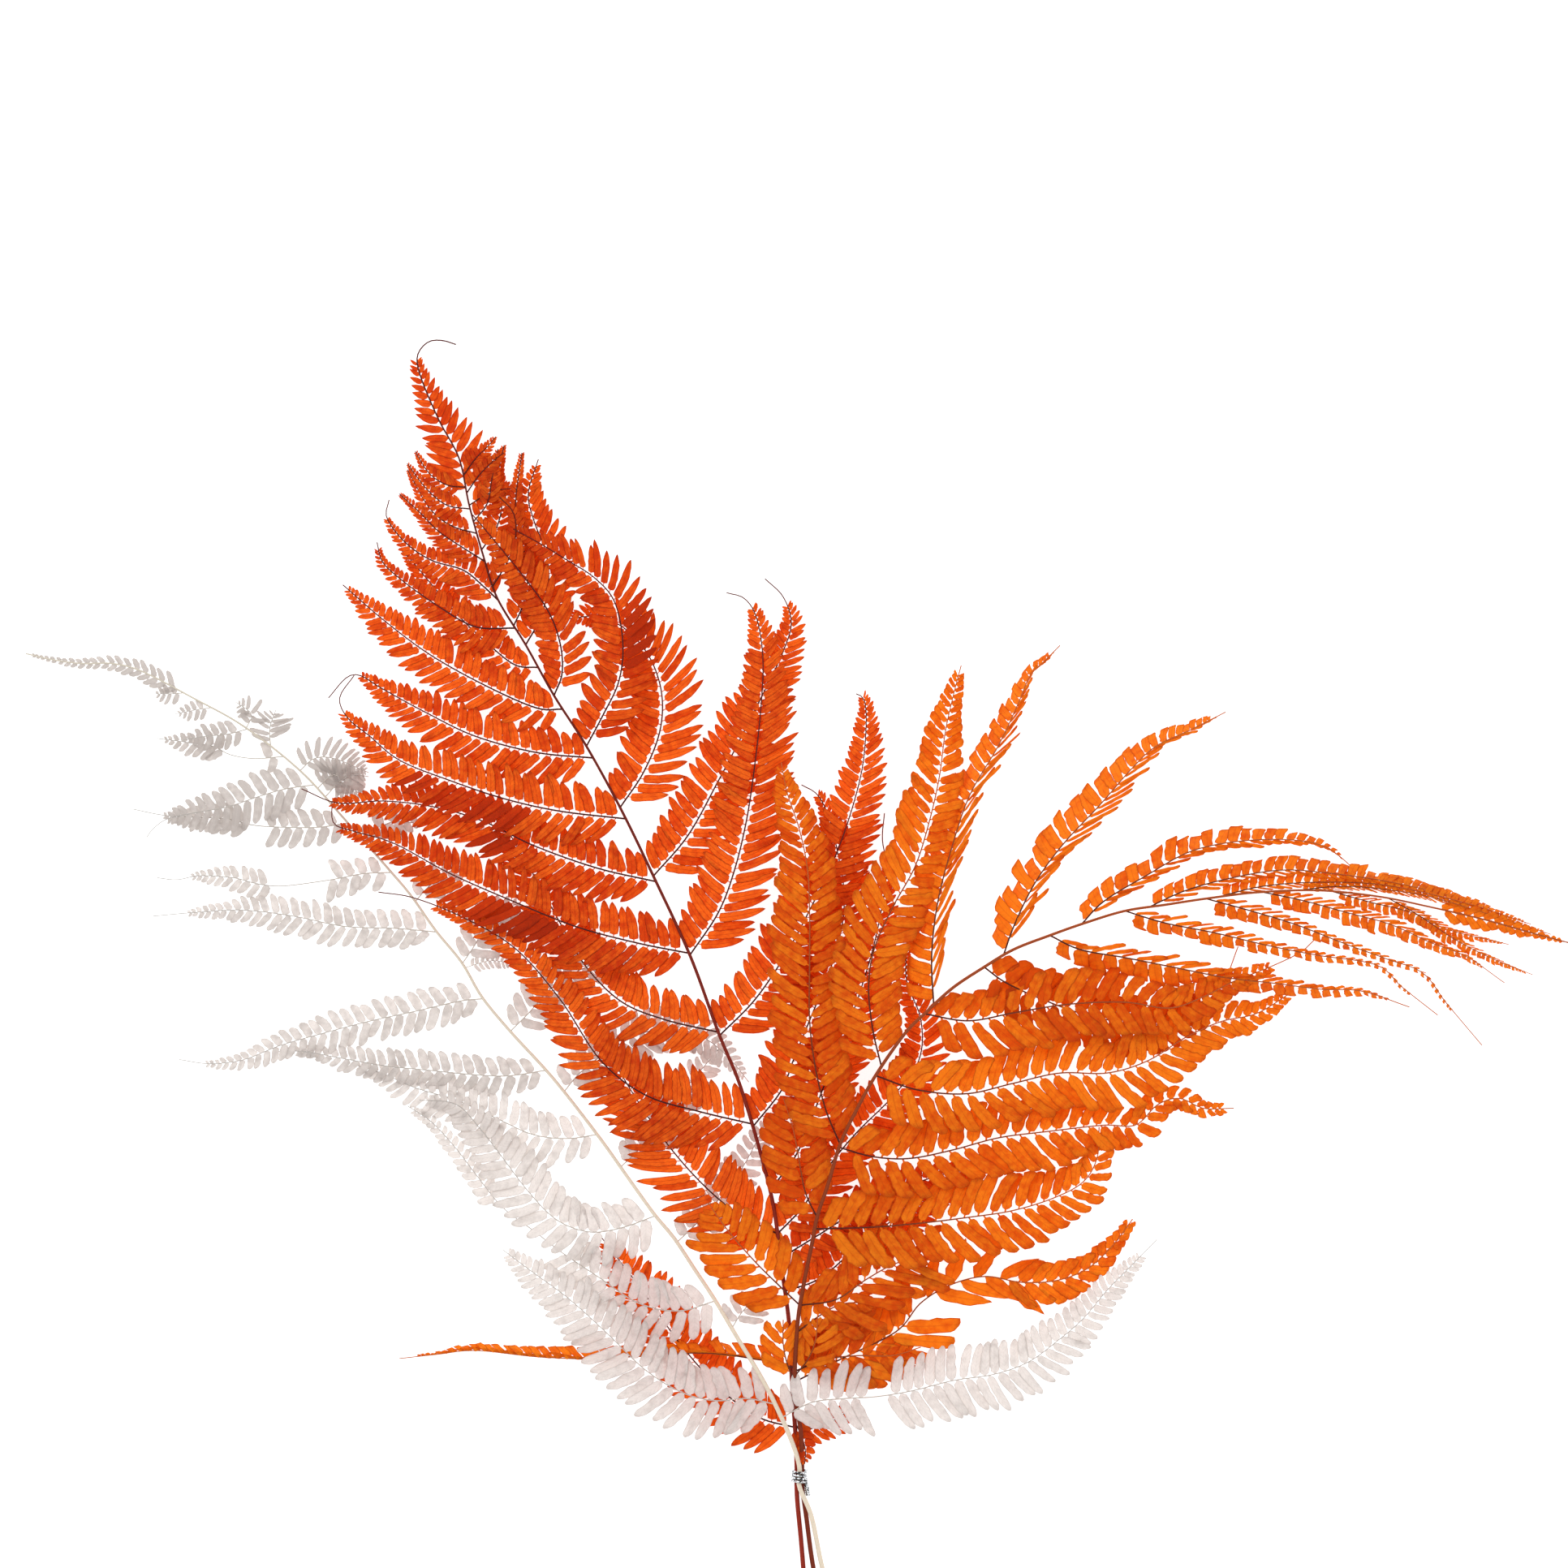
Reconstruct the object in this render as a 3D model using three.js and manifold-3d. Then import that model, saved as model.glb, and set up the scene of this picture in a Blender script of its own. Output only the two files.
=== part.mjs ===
// A bunch of three dried fern fronds, scarlet, orange and bleached white, tied with silver wire and lying on a table.
// Units are millimetres. The table is z = 0 and +Z is up. All routes are measured from the tie at x = 0, y = 0, and
// the fronds grow along +Y. The finished bunch is then moved, so that its origin is the middle of the flat on which
// the scarlet stem lies near its cut end.
// Each frond is one solid: a stem, and side fronds whose leaflets are cut to the rib in one thin blade.
import * as THREE from 'three';
import { mergeVertices } from 'three/addons/utils/BufferGeometryUtils.js';
import Module from 'manifold-3d';

const wasm = await Module();
wasm.setup();

// Stems
const STEM_SIDES = 6;
const STEM_RADIUS = 1.15;
const STEM_TIP_RADIUS = 0.45;
// A six-sided stem lies on the table on one of its flats.
const LYING = STEM_RADIUS * Math.cos(Math.PI / STEM_SIDES);

// Side fronds
const RIB_THICKNESS = 1.0;
const BLADE_THICKNESS = 0.64;
const RIB_HALF_WIDTH = 0.85;
const RIB_TIP_HALF_WIDTH = 0.36;
const LEAFLET_PITCH = 16;
const SMALL_LEAFLET = 9;
const SMALL_LEAFLET_PITCH = 13;
const FIRST_LEAFLET = 4;
const THREAD_LENGTH = 8;
const THREAD_STEP = 12;
const LEAN = 27;
const DROOP = 7;

// Tie
const TIE_HALF_SPREAD = 1.35;
const TIE_LOW_Z = 2.5;
const TIE_HIGH_Z = 4.95;
const TIE_ZONE = 5;
const WIRE_RADIUS = 0.4;
const WIRE_GAP = 0.55;
const WIRE_TURNS = 3;
const WIRE_PITCH = 1.05;
const TAIL_LENGTH = 7;
const TAIL_TURNS = 2;

// A side frond is { w, z, arch, at, ... }. w is the length of its longest leaflets, z the height of its tip, and
// arch how far its middle stands above the straight line from root to tip. at is its route over the table: the first
// point is moved onto the stem. down tilts the leaflets on its left and right side, in degrees, bare is a stretch
// with no leaflets, as shares of its length, thread is the length of its bare tip, lean how far the leaflets
// point forward, and fall the share of the length from which they get shorter, and how suddenly.
const scarlet = {
  name: 'frond_scarlet',
  colour: 0xe8450f,
  stem: [
    [6, -92, LYING], [3.6, -66, LYING], [1, -34, LYING], [-0.9, -14, 2.1],
    [-TIE_HALF_SPREAD, -TIE_ZONE, TIE_LOW_Z], [-TIE_HALF_SPREAD, TIE_ZONE, TIE_LOW_Z], [-2, 22, 3.9],
    [-3.6, 45, 7], [-5, 75, 12], [-9, 105, 16], [-14, 140, 19], [-28, 190, 21], [-40, 220, 22], [-54, 258, 23],
    [-72, 297, 23], [-88, 330, 23], [-105, 361, 23], [-121, 386, 22], [-135, 411, 21], [-149, 434, 20],
    [-156, 455, 18], [-163, 480, 16], [-168, 503, 14], [-178, 522, 11], [-187, 543, 7], [-189, 554, 4.5],
    [-184, 561, 2.4], [-177, 562, 1.2], [-170, 560, 0.5],
  ],
  apex: { from: [-166, 494], to: [-189, 553], w: 19, fall: [0, 0.9], lean: 34, thread: 2 },
  pinnae: [
    { w: 15, z: 1.8, arch: -0.6, at: [[-4, 24], [-20, 29], [-38, 42], [-58, 64], [-78, 92], [-98, 118]] },
    { w: 20, z: 12, arch: -1, at: [[-12, 120], [-30, 130], [-47, 144], [-64, 163], [-80, 186], [-97, 214]] },
    {
      w: 20, z: 11, arch: 3, fall: [0.25, 0.8], thread: 30,
      at: [[-25, 174], [-50, 181], [-76, 189], [-98, 206], [-118, 236], [-140, 261], [-165, 276], [-190, 286],
        [-208, 289]],
    },
    {
      w: 16, z: 12, arch: -4,
      at: [[-40, 220], [-66, 226], [-88, 235], [-106, 253], [-120, 277], [-131, 297], [-141, 314], [-150, 332]],
    },
    {
      w: 15.5, z: 11, arch: 2, thread: 16,
      at: [[-55, 259], [-80, 264], [-110, 272], [-140, 284], [-172, 298], [-200, 313], [-220, 319], [-230, 323],
        [-231, 334]],
    },
    {
      w: 14, z: 11, arch: 1, thread: 17,
      at: [[-71, 294], [-100, 301], [-131, 312], [-156, 324], [-180, 331], [-205, 334], [-228, 333], [-246, 340]],
    },
    {
      w: 15, z: 12, arch: 6, thread: 22,
      at: [[-86, 325], [-118, 329], [-145, 335], [-172, 344], [-197, 354], [-212, 366], [-223, 375], [-227, 385],
        [-220, 396]],
    },
    {
      w: 13, z: 3, arch: 4, thread: 22,
      at: [[-103, 354], [-130, 358], [-160, 366], [-185, 378], [-207, 390], [-217, 396], [-224, 395], [-233, 385]],
    },
    { w: 13, z: 0.6, arch: 4, at: [[-117, 379], [-130, 380], [-155, 391], [-182, 406], [-205, 423], [-226, 441]] },
    {
      w: 10, z: 5, arch: -4,
      at: [[-131, 399], [-140, 401], [-152, 410], [-167, 424], [-181, 440], [-191, 452], [-198, 459]],
    },
    { w: 12, z: 3, arch: 4, at: [[-142, 418], [-160, 420], [-178, 430], [-195, 442], [-206, 452], [-209, 462]] },
    {
      w: 11, z: 4, arch: 2, thread: 14,
      at: [[-150, 432], [-156, 440], [-166, 448], [-182, 453], [-195, 462], [-204, 474], [-203, 483]],
    },
    { w: 9, z: 4, arch: 3, at: [[-156, 452], [-166, 459], [-178, 467], [-188, 477], [-198, 486]] },
    { w: 8, z: 3, arch: 1, at: [[-160, 466], [-172, 470], [-183, 479], [-194, 498]] },
    { w: 7, z: 7, arch: 3, at: [[-163, 478], [-174, 480], [-184, 488], [-194, 501]] },
    { w: 6, z: 9, arch: 2, at: [[-165, 489], [-174, 490], [-183, 496], [-190, 507]] },
    { w: 8, z: 1.5, arch: -0.6, at: [[-1, 21], [8, 24], [18, 28], [28, 35]] },
    { w: 13, z: 5, arch: -3, at: [[-7, 92], [10, 98], [27, 112], [48, 128], [68, 140], [91, 148]] },
    { w: 11, z: 4, arch: -1, at: [[-10, 108], [10, 120], [38, 137], [70, 149], [101, 154]] },
    {
      w: 14, z: 14, arch: -1,
      at: [[-12, 120], [2, 134], [14, 153], [28, 170], [46, 188], [59, 206], [60, 226], [53, 245], [53, 262]],
    },
    {
      w: 15, z: 15, arch: 0, thread: 26,
      at: [[-14, 142], [-3, 157], [4, 172], [12, 193], [21, 215], [30, 240], [38, 268], [43, 298], [41, 315],
        [42, 328]],
    },
    {
      w: 16, z: 12, arch: -4, thread: 10,
      at: [[-22, 174], [-9, 191], [-3, 206], [6, 228], [15, 250], [21, 272], [22, 290], [19, 308], [15, 325],
        [9, 337], [1, 342]],
    },
    {
      w: 17, z: 10, arch: 2,
      at: [[-38, 219], [-22, 236], [-7, 258], [6, 282], [17, 305], [25, 327], [31, 350], [33, 372], [32, 384],
        [28, 387]],
    },
    {
      w: 18, z: 6, arch: 5, thread: 16,
      at: [[-53, 258], [-40, 279], [-32, 300], [-26, 325], [-22, 352], [-19, 380], [-18, 404], [-21, 424],
        [-27, 434], [-36, 437]],
    },
    {
      w: 17, z: 2, arch: -2, thread: 18,
      at: [[-71, 297], [-55, 317], [-40, 344], [-28, 367], [-16, 391], [-8, 408], [-4, 422], [-8, 435], [-17, 444]],
    },
    {
      w: 17, z: 12, arch: -3,
      at: [[-88, 331], [-77, 348], [-69, 368], [-68, 387], [-74, 405], [-86, 419], [-100, 425], [-115, 424]],
    },
    {
      w: 15, z: 24, arch: 4,
      at: [[-105, 361], [-97, 376], [-89, 393], [-87, 412], [-91, 432], [-101, 444], [-115, 453], [-128, 461],
        [-141, 468]],
    },
    {
      w: 12, z: 28, arch: 2,
      at: [[-121, 386], [-117, 397], [-118, 412], [-124, 428], [-137, 446], [-150, 462], [-161, 475]],
    },
    {
      w: 12, z: 9, arch: -3,
      at: [[-135, 411], [-128, 424], [-124, 440], [-125, 456], [-131, 472], [-134, 486], [-129, 503]],
    },
    { w: 9, z: 16, arch: 0, at: [[-142, 420], [-136, 432], [-134, 448], [-138, 466], [-140, 482], [-137, 506]] },
    { w: 8, z: 21, arch: 2, at: [[-151, 440], [-144, 452], [-140, 464], [-141, 476], [-148, 484]] },
    { w: 8, z: 8, arch: -1, at: [[-157, 458], [-150, 468], [-147, 480], [-149, 494], [-146, 510]] },
    { w: 8, z: 12, arch: 2, at: [[-161, 472], [-154, 481], [-152, 492], [-149, 508]] },
    { w: 7, z: 14, arch: 1, at: [[-165, 486], [-158, 495], [-151, 502], [-146, 506]] },
  ],
};

const orange = {
  name: 'frond_orange',
  colour: 0xf56a12,
  stem: [
    [14, -90, LYING], [10.4, -66, LYING], [6, -40, LYING], [3.4, -20, 1.4],
    [TIE_HALF_SPREAD, -TIE_ZONE, TIE_LOW_Z], [TIE_HALF_SPREAD, TIE_ZONE, TIE_LOW_Z], [0.8, 21, 7],
    [-2.2, 45, 11.5], [-1, 75, 17], [2, 95, 21], [6, 115, 25], [9, 130, 28], [14, 145, 30], [20, 165, 33],
    [28, 182, 36], [38, 200, 38], [52, 220, 40], [62, 230, 41], [75, 242, 42], [90, 252, 42], [105, 261, 42],
    [123, 268, 41], [140, 274, 40], [160, 280, 38], [180, 283, 36], [200, 286, 34], [225, 289, 31], [255, 290, 27],
    [285, 287, 22], [310, 282, 17], [340, 275, 11], [365, 268, 5.5], [388, 262, 0.5],
  ],
  apex: { from: [312, 281], to: [386, 263], w: 9, fall: [0, 0.9], lean: 50, thread: 10 },
  pinnae: [
    {
      w: 16, z: 0.6, arch: 4, bare: [0.32, 0.38], lean: 36,
      at: [[-3, 47], [22, 59], [48, 72], [60, 86], [75, 95], [92, 99], [110, 96], [128, 97], [143, 103], [155, 114],
        [165, 127]],
    },
    { w: 17, z: 16, arch: 2, lean: 36, at: [[0, 85], [18, 88], [33, 98], [48, 106], [60, 107], [63, 98]] },
    {
      w: 18, z: 14, arch: 3, lean: 36,
      at: [[9, 123], [35, 124], [60, 126], [85, 129], [105, 132], [125, 138], [140, 146], [147, 158], [148, 173]],
    },
    {
      w: 17, z: 4, arch: 4, thread: 40, lean: 32,
      at: [[21, 163], [36, 159], [54, 158], [75, 162], [98, 168], [122, 171], [150, 174], [166, 174], [177, 184],
        [188, 187], [200, 182], [215, 182]],
    },
    {
      w: 17, z: 5, arch: 5, lean: 32,
      at: [[37, 199], [58, 192], [82, 190], [105, 195], [128, 200], [152, 200], [172, 206], [190, 217], [208, 225],
        [226, 229], [243, 239]],
    },
    {
      w: 16, z: 12, arch: 4, thread: 44, lean: 32,
      at: [[62, 229], [83, 226], [106, 230], [132, 234], [160, 235], [182, 232], [198, 237], [214, 245], [232, 252],
        [247, 259], [254, 265]],
    },
    {
      w: 15, z: 6, arch: -6, thread: 18, lean: 32,
      at: [[91, 252], [101, 245], [118, 237], [140, 229], [165, 224], [185, 225], [199, 233], [210, 245], [217, 262]],
    },
    {
      w: 14, z: 1, arch: 3, down: [58, 52], thread: 30, lean: 42,
      at: [[123, 268], [138, 261], [160, 257], [185, 252], [210, 247], [235, 244], [258, 241], [278, 240],
        [302, 232]],
    },
    {
      w: 12, z: 0.6, arch: 3, down: [58, 50], thread: 45, lean: 42,
      at: [[160, 280], [180, 274], [205, 269], [230, 263], [255, 258], [285, 253], [298, 242], [316, 228]],
    },
    {
      w: 10, z: 0.6, arch: 2, down: [58, 48], thread: 40, lean: 42,
      at: [[200, 286], [222, 280], [245, 273], [268, 264], [290, 256], [308, 249], [320, 234], [338, 213]],
    },
    {
      w: 11, z: 2, arch: 0, down: [50, 45], lean: 42, thread: 20,
      at: [[228, 289], [248, 285], [270, 279], [292, 273], [312, 264], [330, 257], [349, 244]],
    },
    { w: 8, z: 3, arch: 0, down: [50, 45], lean: 42, at: [[262, 289], [282, 284], [302, 279], [322, 270], [351, 263]] },
    { w: 7, z: 1.5, arch: -1, down: [50, 45], lean: 42, at: [[290, 286], [305, 278], [325, 265], [345, 255], [363, 248]] },
    {
      w: 13, z: 1.5, arch: -2, lean: 42, down: [8, 8], thread: 24,
      at: [[-3, 54], [-20, 58], [-45, 61], [-72, 60], [-100, 58], [-130, 59], [-160, 62], [-180, 60], [-198, 58]],
    },
    { w: 19, z: 25, arch: 1, at: [[0, 85], [-10, 95], [-22, 107], [-35, 122], [-45, 136]] },
    { w: 15, z: 27, arch: 1, at: [[9, 129], [3, 141], [0, 156], [-3, 172], [-8, 188]] },
    {
      w: 16, z: 27, arch: 4,
      at: [[20, 165], [13, 182], [8, 202], [5, 226], [5, 252], [5, 278], [4, 300], [0, 320], [-6, 338], [-9, 353]],
    },
    {
      w: 15, z: 8, arch: 8, thread: 14, lean: 36,
      at: [[39, 204], [36, 222], [34, 243], [37, 262], [46, 282], [57, 302], [64, 324], [69, 346], [72, 368],
        [76, 386], [80, 401]],
    },
    {
      w: 18, z: 3, arch: 4, down: [48, 14], thread: 20, lean: 40,
      at: [[65, 235], [65, 258], [68, 284], [75, 311], [84, 337], [98, 361], [108, 382], [114, 396], [121, 403],
        [129, 411]],
    },
    {
      w: 19, z: 1, arch: 5, down: [55, 10], thread: 34, lean: 40,
      at: [[100, 259], [106, 274], [116, 294], [130, 313], [148, 332], [164, 350], [176, 361], [193, 369],
        [211, 378]],
    },
    {
      w: 12, z: 12, arch: 4, down: [40, 45], thread: 16, lean: 40,
      at: [[138, 275], [150, 285], [170, 297], [192, 309], [215, 314], [240, 315], [258, 312], [270, 304],
        [275, 298]],
    },
    {
      w: 10, z: 4, arch: 5, down: [50, 50], lean: 42,
      at: [[172, 282], [190, 290], [212, 296], [238, 300], [265, 298], [292, 294], [318, 288], [345, 280]],
    },
    {
      w: 10, z: 3, arch: 3, down: [50, 50], lean: 42,
      at: [[206, 287], [228, 292], [255, 294], [285, 293], [312, 288], [338, 281], [362, 273]],
    },
    { w: 8, z: 2, arch: 2, down: [45, 45], lean: 42, at: [[245, 290], [268, 292], [292, 290], [318, 285], [372, 268]] },
  ],
};

const white = {
  name: 'frond_white',
  colour: 0xdedad6,
  stem: [
    [22, -86, LYING], [17, -66, LYING], [11, -44, 2.1], [6, -20, 4.2],
    [0, -TIE_ZONE, TIE_HIGH_Z], [0, TIE_ZONE, TIE_HIGH_Z], [-4, 18, 9], [-10, 32, 14.2], [-18, 48, 16],
    [-30, 68, 15.5], [-42, 88, 13.2], [-52, 103, 11], [-62, 118, 9], [-72, 130, 7.5], [-85, 148, 6], [-100, 169, 5.5],
    [-122, 197, 5], [-143, 220, 5], [-157, 237, 5], [-167, 254, 5], [-180, 270, 5], [-192, 287, 5], [-203, 300, 5],
    [-225, 325, 5], [-247, 349, 5], [-275, 371, 5], [-300, 385, 4.5], [-325, 398, 3.5], [-340, 402, 2.8],
    [-355, 402, 2.2], [-370, 404, 1.4], [-383, 407, 0.5],
  ],
  apex: { from: [-305, 388], to: [-383, 407], w: 7, fall: [0, 0.9], lean: 40, thread: 4 },
  pinnae: [
    {
      w: 18, z: 2, arch: 5,
      at: [[-12, 36], [-26, 39], [-42, 38], [-58, 42], [-76, 53], [-95, 71], [-114, 88], [-132, 101], [-147, 112]],
    },
    {
      w: 15, z: 0.6, arch: -3, bare: [0.43, 0.66], fall: [0.2, 0.9],
      at: [[-42, 87], [-60, 82], [-80, 86], [-100, 99], [-118, 111], [-131, 121], [-147, 133], [-160, 149],
        [-170, 162], [-182, 175], [-194, 183]],
    },
    {
      w: 14, z: 2, arch: 4,
      at: [[-72, 128], [-88, 123], [-104, 121], [-120, 127], [-134, 141], [-147, 158], [-158, 172], [-170, 184],
        [-188, 186]],
    },
    {
      w: 13, z: 2, arch: -1, down: [12, 12],
      at: [[-100, 169], [-115, 167], [-132, 169], [-150, 177], [-170, 186], [-190, 192], [-206, 199], [-222, 204]],
    },
    {
      w: 11, z: 2, arch: 3, down: [34, 28],
      at: [[-127, 199], [-145, 198], [-165, 199], [-185, 201], [-205, 203], [-228, 207], [-245, 210], [-258, 210]],
    },
    {
      w: 11, z: 1, arch: 3, down: [24, 28], thread: 14,
      at: [[-157, 236], [-168, 235], [-190, 230], [-213, 225], [-236, 219], [-257, 213], [-275, 206], [-292, 204],
        [-307, 206]],
    },
    {
      w: 11, z: 1, arch: 3, down: [28, 24], thread: 18,
      at: [[-180, 269], [-200, 271], [-225, 272], [-250, 277], [-275, 280], [-297, 279], [-320, 277]],
    },
    {
      w: 10, z: 0.6, arch: 2, down: [20, 20], bare: [0.26, 0.52], thread: 18,
      at: [[-203, 298], [-216, 298], [-232, 295], [-255, 292], [-268, 293], [-280, 296], [-297, 297], [-308, 295],
        [-318, 296]],
    },
    {
      w: 10, z: 1, arch: 0, down: [16, 16], bare: [0.36, 0.45], thread: 16,
      at: [[-224, 322], [-238, 321], [-255, 321], [-270, 322], [-283, 325], [-300, 326], [-315, 327], [-330, 330]],
    },
    {
      w: 12, z: 2, arch: 5, thread: 14,
      at: [[-240, 342], [-254, 340], [-268, 336], [-283, 331], [-300, 328], [-313, 325], [-320, 320], [-323, 316]],
    },
    {
      w: 8, z: 0.6, arch: -1, bare: [0.16, 0.46],
      at: [[-256, 355], [-270, 355], [-282, 357], [-290, 361], [-303, 363], [-318, 365]],
    },
    { w: 7, z: 4, arch: 2, at: [[-273, 369], [-283, 367], [-294, 366], [-306, 364]] },
    { w: 5, z: 3, arch: 0, thread: 2, at: [[-291, 380], [-299, 379], [-309, 377]] },
    { w: 5, z: 3, arch: 0, thread: 2, at: [[-305, 387], [-312, 387], [-320, 387]] },
    {
      w: 16, z: 2, arch: 9, bare: [0.2, 0.25], thread: 12,
      at: [[-8, 30], [6, 37], [22, 39], [38, 40], [56, 43], [76, 48], [96, 51], [113, 57], [127, 67], [140, 78],
        [152, 92], [164, 104], [177, 117]],
    },
    { w: 10, z: 13, arch: 0, thread: 3, at: [[-33, 74], [-28, 82], [-20, 90]] },
    { w: 11, z: 4, arch: 0, at: [[-60, 116], [-52, 124], [-39, 138], [-28, 153], [-20, 168], [-14, 180]] },
    { w: 12, z: 4, arch: 0, at: [[-88, 153], [-78, 163], [-66, 177], [-56, 192], [-46, 204], [-36, 216]] },
    {
      w: 12, z: 8, arch: 2,
      at: [[-117, 190], [-108, 200], [-92, 212], [-75, 220], [-58, 222], [-44, 215], [-33, 205], [-25, 195]],
    },
    { w: 12, z: 5, arch: 1, at: [[-143, 220], [-134, 229], [-122, 242], [-105, 252], [-88, 256], [-70, 254]] },
    { w: 12, z: 6, arch: 1, at: [[-166, 254], [-161, 262], [-156, 270], [-147, 279], [-136, 285]] },
    { w: 4, z: 2, arch: -1, at: [[-165, 252], [-152, 255], [-137, 252]] },
    { w: 9, z: 4, arch: 0, at: [[-190, 284], [-184, 291], [-175, 298], [-163, 304]] },
    { w: 9, z: 4, arch: 0, at: [[-213, 311], [-207, 321], [-198, 324], [-186, 322]] },
    { w: 9, z: 4, arch: 0, at: [[-234, 336], [-228, 343], [-221, 347], [-213, 346]] },
    { w: 11, z: 4, arch: 1, at: [[-247, 349], [-241, 356], [-232, 360], [-222, 356], [-211, 350]] },
    { w: 8, z: 4, arch: 1, thread: 3, at: [[-262, 361], [-261, 369], [-256, 376]] },
    { w: 6, z: 4, arch: 1, thread: 2, at: [[-274, 370], [-271, 377], [-279, 383]] },
  ],
};

const UP = new THREE.Vector3(0, 0, 1);
const mix = THREE.MathUtils.lerp;
const radians = THREE.MathUtils.degToRad;

function smoothCurve(points) {
  return new THREE.CatmullRomCurve3(points.map((p) => new THREE.Vector3(...p)), false, 'catmullrom', 0.5);
}

// A closed triangle mesh of flat lists as a solid.
function solidOf(positions, triangles) {
  const geometry = new THREE.BufferGeometry();
  geometry.setAttribute('position', new THREE.Float32BufferAttribute(positions, 3));
  geometry.setIndex(triangles);
  return solidOfGeometry(geometry);
}

function solidOfGeometry(geometry) {
  const bare = geometry.clone();
  bare.deleteAttribute('normal');
  bare.deleteAttribute('uv');
  const merged = mergeVertices(bare, 1e-4);
  return new wasm.Manifold(new wasm.Mesh({
    numProp: 3,
    vertProperties: new Float32Array(merged.attributes.position.array),
    triVerts: new Uint32Array(merged.index.array),
  }));
}

function geometryOfSolid(solid) {
  const mesh = solid.getMesh();
  const geometry = new THREE.BufferGeometry();
  geometry.setAttribute('position', new THREE.BufferAttribute(mesh.vertProperties, 3));
  geometry.setIndex(new THREE.BufferAttribute(mesh.triVerts, 1));
  geometry.computeVertexNormals();
  return geometry;
}

// The direction forward, the level direction to the left, and the one that stands on both, at share f of a route.
function frameAt(place, f) {
  const step = 0.002;
  const forward = place(Math.min(1, f + step)).sub(place(Math.max(0, f - step))).normalize();
  const left = new THREE.Vector3().crossVectors(UP, forward).normalize();
  const above = new THREE.Vector3().crossVectors(forward, left);
  return { forward, left, above };
}

// A stem is a tube of six sides that gets thinner towards its tip, with one flat turned to the table. It has a ring
// at each point of its route.
function stemSolid(curve) {
  const rings = curve.points.length - 1;
  const place = (f) => curve.getPoint(f);
  const positions = [];
  const triangles = [];
  for (let i = 0; i <= rings; i++) {
    const f = i / rings;
    const radius = mix(STEM_RADIUS, STEM_TIP_RADIUS, Math.max(0, f - 0.12) / 0.88);
    const centre = place(f);
    const { left, above } = frameAt(place, f);
    for (let j = 0; j < STEM_SIDES; j++) {
      const angle = (2 * Math.PI * j) / STEM_SIDES;
      const p = centre.clone().addScaledVector(left, -radius * Math.cos(angle));
      p.addScaledVector(above, radius * Math.sin(angle));
      positions.push(p.x, p.y, p.z);
    }
  }
  for (let i = 0; i < rings; i++) {
    for (let j = 0; j < STEM_SIDES; j++) {
      const next = (j + 1) % STEM_SIDES;
      const a = i * STEM_SIDES + j;
      const b = i * STEM_SIDES + next;
      triangles.push(a, a + STEM_SIDES, b, b, a + STEM_SIDES, b + STEM_SIDES);
    }
  }
  const last = rings * STEM_SIDES;
  for (let j = 1; j < STEM_SIDES - 1; j++) {
    triangles.push(0, j, j + 1);
    triangles.push(last, last + j + 1, last + j);
  }
  return solidOf(positions, triangles);
}

// How long a leaflet is, at share s of the leafy stretch: a little shorter at the root, then full, then falling away.
function leafletShare(s, [from, power]) {
  const root = mix(0.72, 1, Math.min(1, s / 0.15));
  return root * (1 - Math.max(0, (s - from) / (1 - from)) ** power);
}

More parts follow.
